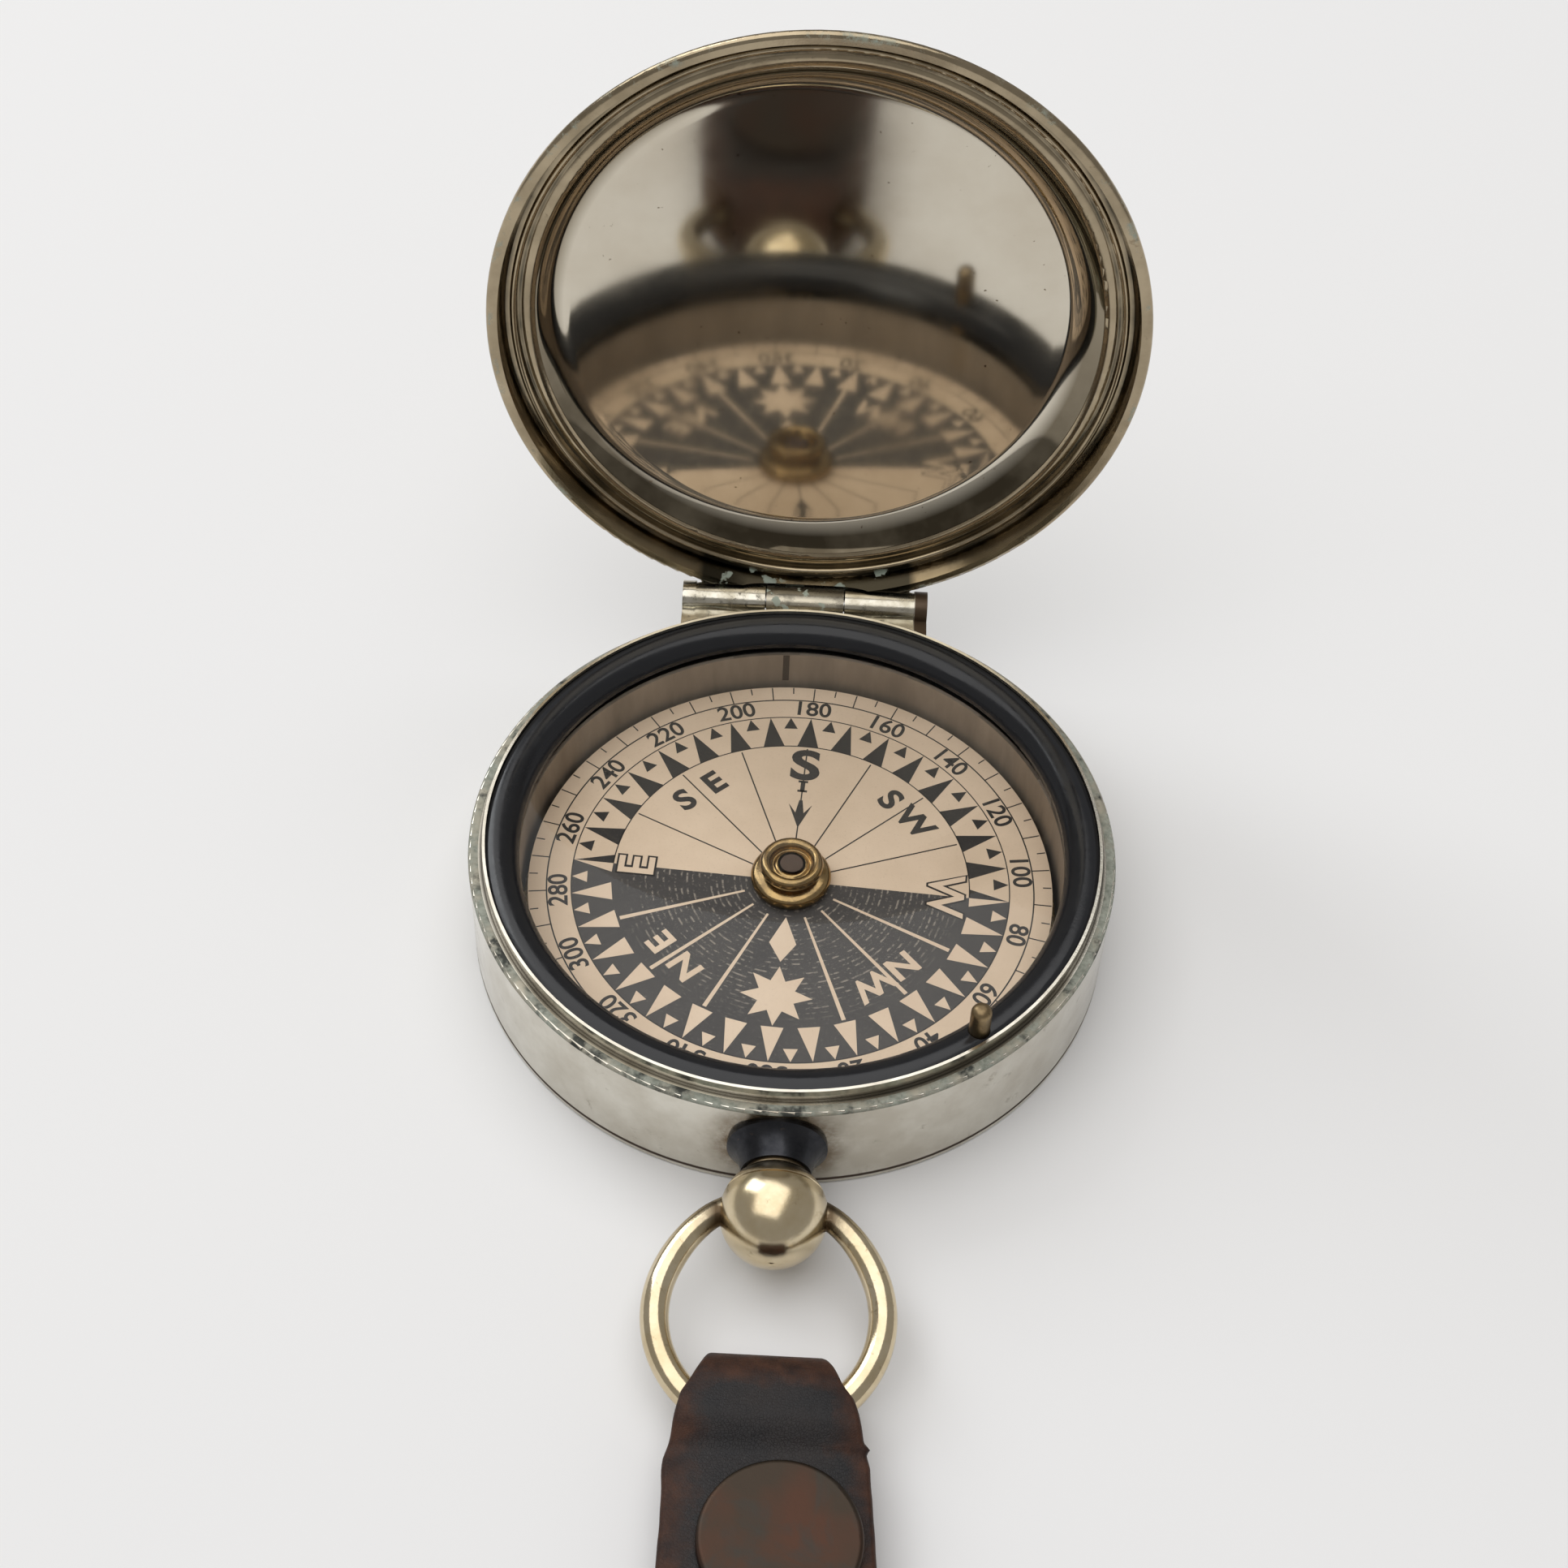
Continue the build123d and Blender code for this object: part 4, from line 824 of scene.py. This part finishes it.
for k in range(1, 16):
    degrees = k * 22.5
    if on_dark_half(degrees):
        add_bar(buff_work, 3.4, tooth_radius - ray_margin, degrees, 0.16, 0.30, ink_low, over_high)
    elif not on_border(degrees):
        add_bar(dark_work, 2.2, tooth_radius - ray_margin, degrees, 0.10, 0.10, ink_low, ink_high)
arrow_right = ((7.5, -0.12), (6.3, -0.30), (7.1, -0.85))
arrow_left = [(radius, -aside) for radius, aside in arrow_right[::-1]]
arrow = [spot(radius, south, aside) for radius, aside in ((4.9, 0.0), *arrow_left, *arrow_right)]
add_prism(dark_work, arrow, ink_low, over_high)
for radius in (8.3, 9.2):
    add_bar(dark_work, radius, radius + 0.18, south, 0.70, 0.70, ink_low, over_high)
add_bar(dark_work, 8.3, 9.3, south, 0.32, 0.32, ink_low, over_high)
star_at = Vector(spot(10.1, 0))
star_corners = 16
star = []
for k in range(star_corners):
    reach = 2.5 if k % 2 == 0 else 1.35
    turn = math.radians(heading - 90 + k * 360 / star_corners)
    star.append((star_at.x + reach * math.cos(turn), star_at.y + reach * math.sin(turn)))
for k in range(star_corners):
    add_prism(buff_work, [tuple(star_at), star[k], star[(k + 1) % star_corners]], ink_low, over_high)
kite = [spot(3.3, 0), spot(5.6, 0, 0.95), spot(7.2, 0), spot(5.6, 0, -0.95)]
add_prism(buff_work, kite, ink_low, over_high)
for name, work, ink in (
    ("dial_dark_half", half_work, charcoal),
    ("dial_marks_dark", dark_work, dark_ink),
    ("dial_marks_buff", buff_work, buff_ink),
):
    place_mesh(name, finish_mesh(work, name), ink, "card", smooth=False)


def shape_mesh(shaped):
    """The mesh of an object as it stands, with its modifiers and curve settings."""
    bpy.context.view_layer.update()
    return bpy.data.meshes.new_from_object(shaped.evaluated_get(bpy.context.evaluated_depsgraph_get()))


def add_text(name, words, degrees, radius, size, bold, ink, high, wide=1.0, aside=0.0):
    """A word printed on the card, its top towards the rim."""
    curve = bpy.data.curves.new(name, "FONT")
    curve.body = words
    curve.align_x = "CENTER"
    curve.align_y = "CENTER"
    curve.size = size * MM
    curve.extrude = (high - ink_low) / 2 * MM
    curve.resolution_u = 6
    shaped = bpy.data.objects.new(name + "_shape", curve)
    bpy.context.scene.collection.objects.link(shaped)
    thin = shape_mesh(shaped)
    curve.offset = bold * MM
    mesh = shape_mesh(shaped)
    bpy.data.objects.remove(shaped)
    # Corners that the boldness draws out to spikes are cut off level with the letter
    for axis in (0, 1):
        places = [vert.co[axis] for vert in thin.vertices]
        first = min(places) - bold * MM
        last = max(places) + bold * MM
        for vert in mesh.vertices:
            vert.co[axis] = min(max(vert.co[axis], first), last)
    bpy.data.meshes.remove(thin)
    x, y = spot(radius, degrees, aside)
    turn = Matrix.Rotation(math.radians(heading + degrees - 180), 4, "Z")
    lift = Matrix.Translation((x * MM, y * MM, (high + ink_low) / 2 * MM))
    mesh.transform(lift @ turn @ Matrix.Diagonal((wide, 1.0, 1.0, 1.0)))
    place_mesh(name, mesh, ink, "card", smooth=False)


number_radius = (scale_radius + band_radius) / 2
for degrees in range(20, 361, 20):
    name = f"dial_number_{degrees}"
    add_text(name, str(degrees), degrees, number_radius, size=1.92, bold=0.03, ink=dark_ink, high=ink_high)
add_text("dial_s", "S", south, radius=10.75, size=3.9, bold=0.11, ink=dark_ink, high=over_high, wide=1.25)
pair_radius = 10.45
pair_aside = 1.35
for pair, degrees, ink, high in (
    ("SE", 225, dark_ink, over_high),
    ("SW", 135, dark_ink, over_high),
    ("NE", 315, buff_ink, letter_high),
    ("NW", 45, buff_ink, letter_high),
):
    for letter, aside in zip(pair, (pair_aside, -pair_aside)):
        name = f"dial_{pair}_{letter}".lower()
        add_text(name, letter, degrees, pair_radius, 2.6, 0.08, ink, high, wide=1.08, aside=aside)
single_radius = 10.9
single_size = 3.6
for name, words, degrees in (("dial_e", "E", 270), ("dial_w", "W", 90)):
    add_text(name + "_edge", words, degrees, single_radius, single_size, 0.20, dark_ink, over_high)
    add_text(name, words, degrees, single_radius, single_size, 0.06, buff_ink, letter_high)

# Lubber line on the lining, on the hinge side
liner_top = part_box("liner_ring")[1].z / MM
liner_wall = 0.28
line_proud = 0.03
line_sunk = 0.05
line_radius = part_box("liner_ring")[1].y / MM - liner_wall
line_half = math.degrees(0.24 / line_radius)
line_low = 4.3
line_high = liner_top - 0.05
line_place = 93.5
line_ends = (line_place - line_half, line_place + line_half)
line_radii = (line_radius - line_proud, line_radius + line_sunk)
line_work = bmesh.new()
add_arc(line_work, *line_radii, *line_ends, line_low, line_high, steps=2)
line_mesh = finish_mesh(line_work, "lubber_line")
place_mesh("lubber_line", line_mesh, line_brown, "case", smooth=False)

# Bow: wire bent round to the ball's sides, where its two pivots go in
bow_radius = 7.15
bow_offset = 6.75
bow_steps = 120
wire_points = 24
wire_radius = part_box("bow_ring")[1].x / MM - bow_radius
end_gap = 0.08
seat_length = 1.6
end_slim = 0.10
end_share = 0.14
bow_pivot_radius = 0.66
bow_pivot_reach = ball_radius - 1.1
bow_out = (Vector(joints["strap_swing"]["pos_m"]) - ball_centre).normalized()
bow_side = Vector((1, 0, 0))
bow_up = bow_side.cross(bow_out)


def add_bow_ring(work, centre, ahead, radius, lead=seat_length):
    """One ring of points round the wire; close to its end they slide along it to lie on the ball."""
    along = ahead.normalized()
    normal = along.cross(bow_up)
    away = along if centre.dot(along) > 0 else -along
    share = max(1 - lead / seat_length, 0.0)
    ring = []
    for i in range(wire_points):
        turn = 2 * math.pi * i / wire_points
        point = centre + (normal * math.cos(turn) + bow_up * math.sin(turn)) * radius
        if share > 0:
            depth = point.dot(away)
            slide = math.sqrt((ball_radius + end_gap) ** 2 - point.length_squared + depth ** 2) - depth
            point += away * (slide + lead) * share
        ring.append(work.verts.new(ball_centre + point * MM))
    return ring


def make_bow():
    """Rings of points along one pivot, the wire and the other pivot, taken from the ball's centre."""
    end_angle = math.asin(ball_radius / bow_radius)
    lift = bow_offset - bow_radius * math.cos(end_angle)
    path = []
    slim = []
    for i in range(bow_steps + 1):
        angle = end_angle + (2 * math.pi - 2 * end_angle) * i / bow_steps
        ease = eased(clamp(1 - min(i, bow_steps - i) / bow_steps / end_share))
        reach = bow_offset - bow_radius * math.cos(angle) - lift * ease
        path.append(bow_side * (bow_radius * math.sin(angle)) + bow_out * reach)
        slim.append(1 - end_slim * ease)
    work = bmesh.new()
    rings = []
    for place in (bow_pivot_reach, ball_radius + end_gap):
        rings.append(add_bow_ring(work, bow_side * place, bow_side, bow_pivot_radius))
    for i, centre in enumerate(path):
        ahead = path[min(i + 1, bow_steps)] - path[max(i - 1, 0)]
        lead = min((centre - path[0]).length, (centre - path[-1]).length)
        rings.append(add_bow_ring(work, centre, ahead, wire_radius * slim[i], lead))
    for place in (ball_radius + end_gap, bow_pivot_reach):
        rings.append(add_bow_ring(work, -bow_side * place, bow_side, bow_pivot_radius))
    for a, b in zip(rings, rings[1:]):
        for i in range(wire_points):
            j = (i + 1) % wire_points
            work.faces.new((a[i], a[j], b[j], b[i]))
    work.faces.new(rings[0][::-1])
    work.faces.new(rings[-1])
    return finish_mesh(work, "bow_wire")


bow_wire = place_mesh("bow_wire", make_bow(), bow_metal, "bow")
bow_wire.data.set_sharp_from_angle(angle=math.radians(50))
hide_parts("bow_ring")

# Strap: one leather band from its tail, round the fold, to the end of the flap
strap_low, strap_high = [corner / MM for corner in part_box("strap")]
leather = 1.0
skin = 0.02
edge_round = 0.34
loop_half = strap_high.z / 2 - leather
bend = loop_half + leather / 2
fold_front = strap_high.y
fold_centre = fold_front - leather - loop_half
upper_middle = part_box("snap_cap")[0].z / MM + leather / 2
slope_start = fold_front - 4.5
flap_start = slope_start - 2.65
flap_length = 22.0
flap_end = fold_front - flap_length + skin
tail_end = strap_low.y + 0.2
strap_lean = 0.045
tip_half = 6.9
tip_start = fold_front - strap_low.y - tip_half
width_rows = (
    (0.0, 3.45), (2.6, 4.75), (3.6, 5.4), (7.5, 6.3), (flap_length, tip_half), (tip_start, tip_half)
)
edge_inset = 0.1
edge_ragged = 0.12
flake_along = 6.3
flake_half = 0.2
flake_reach = 0.3
tail_steps = 90
bend_steps = 24
level_steps = 6
slope_steps = 16
flap_steps = 40
hole = mounts["strap_hole"]


def strap_half_width(along):
    """Half the band's width at a distance from its fold: rows of widths, then the round tip."""
    if along >= tip_start:
        return math.sqrt(max(tip_half ** 2 - (along - tip_start) ** 2, 0.05))
    for (a, wide_a), (b, wide_b) in zip(width_rows, width_rows[1:]):
        if along <= b:
            return wide_a + (wide_b - wide_a) * max(along - a, 0.0) / (b - a)


def strap_path():
    """Middle line of the band as (y, z) points."""
    points = []
    for i in range(tail_steps + 1):
        points.append((tail_end + (fold_centre - tail_end) * i / tail_steps, leather / 2))
    for i in range(1, bend_steps):
        angle = math.pi * (i / bend_steps - 0.5)
        points.append((fold_centre + bend * math.cos(angle), leather + loop_half + bend * math.sin(angle)))
    top = leather + loop_half + bend
    for i in range(level_steps):
        points.append((fold_centre + (slope_start - fold_centre) * i / level_steps, top))
    for i in range(slope_steps + 1):
        t = i / slope_steps
        points.append((slope_start + (flap_start - slope_start) * t, top + (upper_middle - top) * eased(t)))
    for i in range(1, flap_steps + 1):
        points.append((flap_start + (flap_end - flap_start) * i / flap_steps, upper_middle))
    return points


def strap_section():
    """Signs and roundings of the band's cross section, corner by corner."""
    between = 0.4
    section = []
    for corner, signs in enumerate(((1, 1), (-1, 1), (-1, -1), (1, -1))):
        for step in range(4):
            turn = math.radians(corner * 90 + step * 30)
            section.append((*signs, math.cos(turn), math.sin(turn)))
        if corner in (0, 2):
            section.append((signs[0] * between, signs[1], 0.0, signs[1]))
            section.append((-signs[0] * between, signs[1], 0.0, signs[1]))
    return section


def make_strap():
    """The band swept along its middle line, with ragged edges and its wear and flesh side as attributes."""
    path = strap_path()
    section = strap_section()
    work = bmesh.new()
    looks = []
    rings = []
    for i, (y, z) in enumerate(path):
        ahead = Vector(path[min(i + 1, len(path) - 1)]) - Vector(path[max(i - 1, 0)])
        normal = Vector((-ahead.y, ahead.x)).normalized()
        along = max(fold_front - y, 0.0)
        half = strap_half_width(along)
        upper = z > leather + loop_half
        ring = []
        for side, face, c, s in section:
            ragged = noise.noise(Vector((side * 3.0, y * 0.5, z * 0.5))) * edge_ragged
            if upper and side == 1:
                ragged += flake_reach * math.exp(-((along - flake_along) / flake_half) ** 2)
            across = side * (half - edge_inset - edge_round + ragged) + c * edge_round
            thick = face * (leather / 2 - skin - edge_round) + s * edge_round
            x = strap_lean * along + across
            ring.append(work.verts.new((x * MM, (y + normal.x * thick) * MM, (z + normal.y * thick) * MM)))
            rubbed = clamp(1.15 - (half - abs(across)) / 1.2)
            fold_wear = clamp((3.6 - along) / 1.6) * 0.8 if z > leather else 0.0
            looks.append((max(rubbed, fold_wear), 1.0 if thick > 0.3 else 0.0))
        rings.append(ring)
    count = len(section)
    for a, b in zip(rings, rings[1:]):
        for k in range(count):
            work.faces.new((a[k], a[(k + 1) % count], b[(k + 1) % count], b[k]))
    work.faces.new(rings[0][::-1])
    work.faces.new(rings[-1])
    mesh = finish_mesh(work, "strap_band")
    wear_data = mesh.attributes.new("wear", "FLOAT", "POINT")
    flesh_data = mesh.attributes.new("flesh", "FLOAT", "POINT")
    for i, (wear, flesh) in enumerate(looks):
        wear_data.data[i].value = wear
        flesh_data.data[i].value = flesh
    return mesh


def punch(part, at, radius, length):
    """Cuts a round upright hole through the band; its wall is flesh down to the middle of the leather."""
    near_wall = 1.05
    rod = [(0, 0), (radius, 0), (radius, length), (0, length)]
    tool = bpy.data.objects.new("punch", turned("punch", rod, steps=48))
    tool.data.transform(Matrix.Translation(at))
    bpy.context.scene.collection.objects.link(tool)
    cut = part.modifiers.new("hole", "BOOLEAN")
    cut.object = tool
    cut.solver = "EXACT"
    punched = shape_mesh(part)
    part.modifiers.clear()
    part.data = punched
    bpy.data.objects.remove(tool)
    for i, vert in enumerate(punched.vertices):
        if (vert.co - at).to_2d().length < near_wall * radius * MM:
            punched.attributes["flesh"].data[i].value = 1.0 if vert.co.z > leather / 2 * MM else 0.0


strap = place_mesh("strap_band", make_strap(), strap_leather(), "fob")
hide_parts("strap")
punch(strap, Vector(hole["pos_m"]) - Vector((0, 0, leather * MM)), hole["dims"]["r_mm"], 2 * leather)

# Floor and light
floor_made = Shader("floor_pale")
floor_made.set(base_color=floor_made.mix(floor_made.noise(9.0, 3.0), (0.87, 0.87, 0.87), (0.85, 0.85, 0.86)))
floor_made.set(roughness=0.9, specular_ior_level=0.1)
floor_reach = 6.0
floor_drop = 0.05
floor_mesh = bpy.data.meshes.new("floor")
floor_corners = [(x * floor_reach, y * floor_reach, 0) for x, y in ((-1, -1), (1, -1), (1, 1), (-1, 1))]
floor_mesh.from_pydata(floor_corners, [], [(0, 1, 2, 3)])
floor_mesh.materials.append(floor_made.material)
floor = bpy.data.objects.new("floor", floor_mesh)
bpy.context.scene.collection.objects.link(floor)
floor.location.z = -floor_drop * MM
floor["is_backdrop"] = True

world = bpy.data.worlds.new("studio")
bpy.context.scene.world = world
world.use_nodes = True
sky = world.node_tree.nodes["Background"]
sky.inputs["Color"].default_value = (1.0, 0.98, 0.95, 1)
sky.inputs["Strength"].default_value = 0.34


def add_light(name, at, wide, tall, power, colour):
    """A soft oblong lamp that faces the part."""
    lamp = bpy.data.lights.new(name, "AREA")
    lamp.shape = "RECTANGLE"
    lamp.size = wide
    lamp.size_y = tall
    lamp.energy = power
    lamp.color = colour
    held = bpy.data.objects.new(name, lamp)
    bpy.context.scene.collection.objects.link(held)
    held.location = at
    held.rotation_euler = (-Vector(at)).to_track_quat("-Z", "Y").to_euler()


add_light("overhead", (-0.15, 0.05, 1.1), wide=1.7, tall=1.3, power=9.9, colour=(1.0, 0.99, 0.98))
add_light("window", (-0.75, 0.70, 0.75), wide=0.5, tall=0.7, power=3.8, colour=(0.95, 0.98, 1.0))

# Camera fitted to the photo; its half width and focal length are in pixels
camera_data = bpy.data.cameras.new("camera")
camera = bpy.data.objects.new("camera", camera_data)
bpy.context.scene.collection.objects.link(camera)
bpy.context.scene.camera = camera
photo_half = 966.0
photo_focal = 3158.84
camera_data.sensor_fit = "HORIZONTAL"
camera_data.angle = 2 * math.atan(photo_half / photo_focal)
camera_data.clip_start = 0.005
camera_place = Vector((0, -0.112716, 0.147074))
back = Vector((0.00453083, -0.64788826, 0.76172192))
yaw = math.radians(0.4007)
level = Vector((math.cos(yaw), math.sin(yaw), 0))
above = back.cross(level)
roll = math.radians(2.6001)
right = level * math.cos(roll) + above * math.sin(roll)
up = above * math.cos(roll) - level * math.sin(roll)
camera_turn = Matrix((right, up, back)).transposed().to_4x4()
camera.matrix_world = Matrix.Translation(camera_place) @ camera_turn

bpy.context.scene.view_settings.view_transform = "Standard"
low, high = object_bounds()
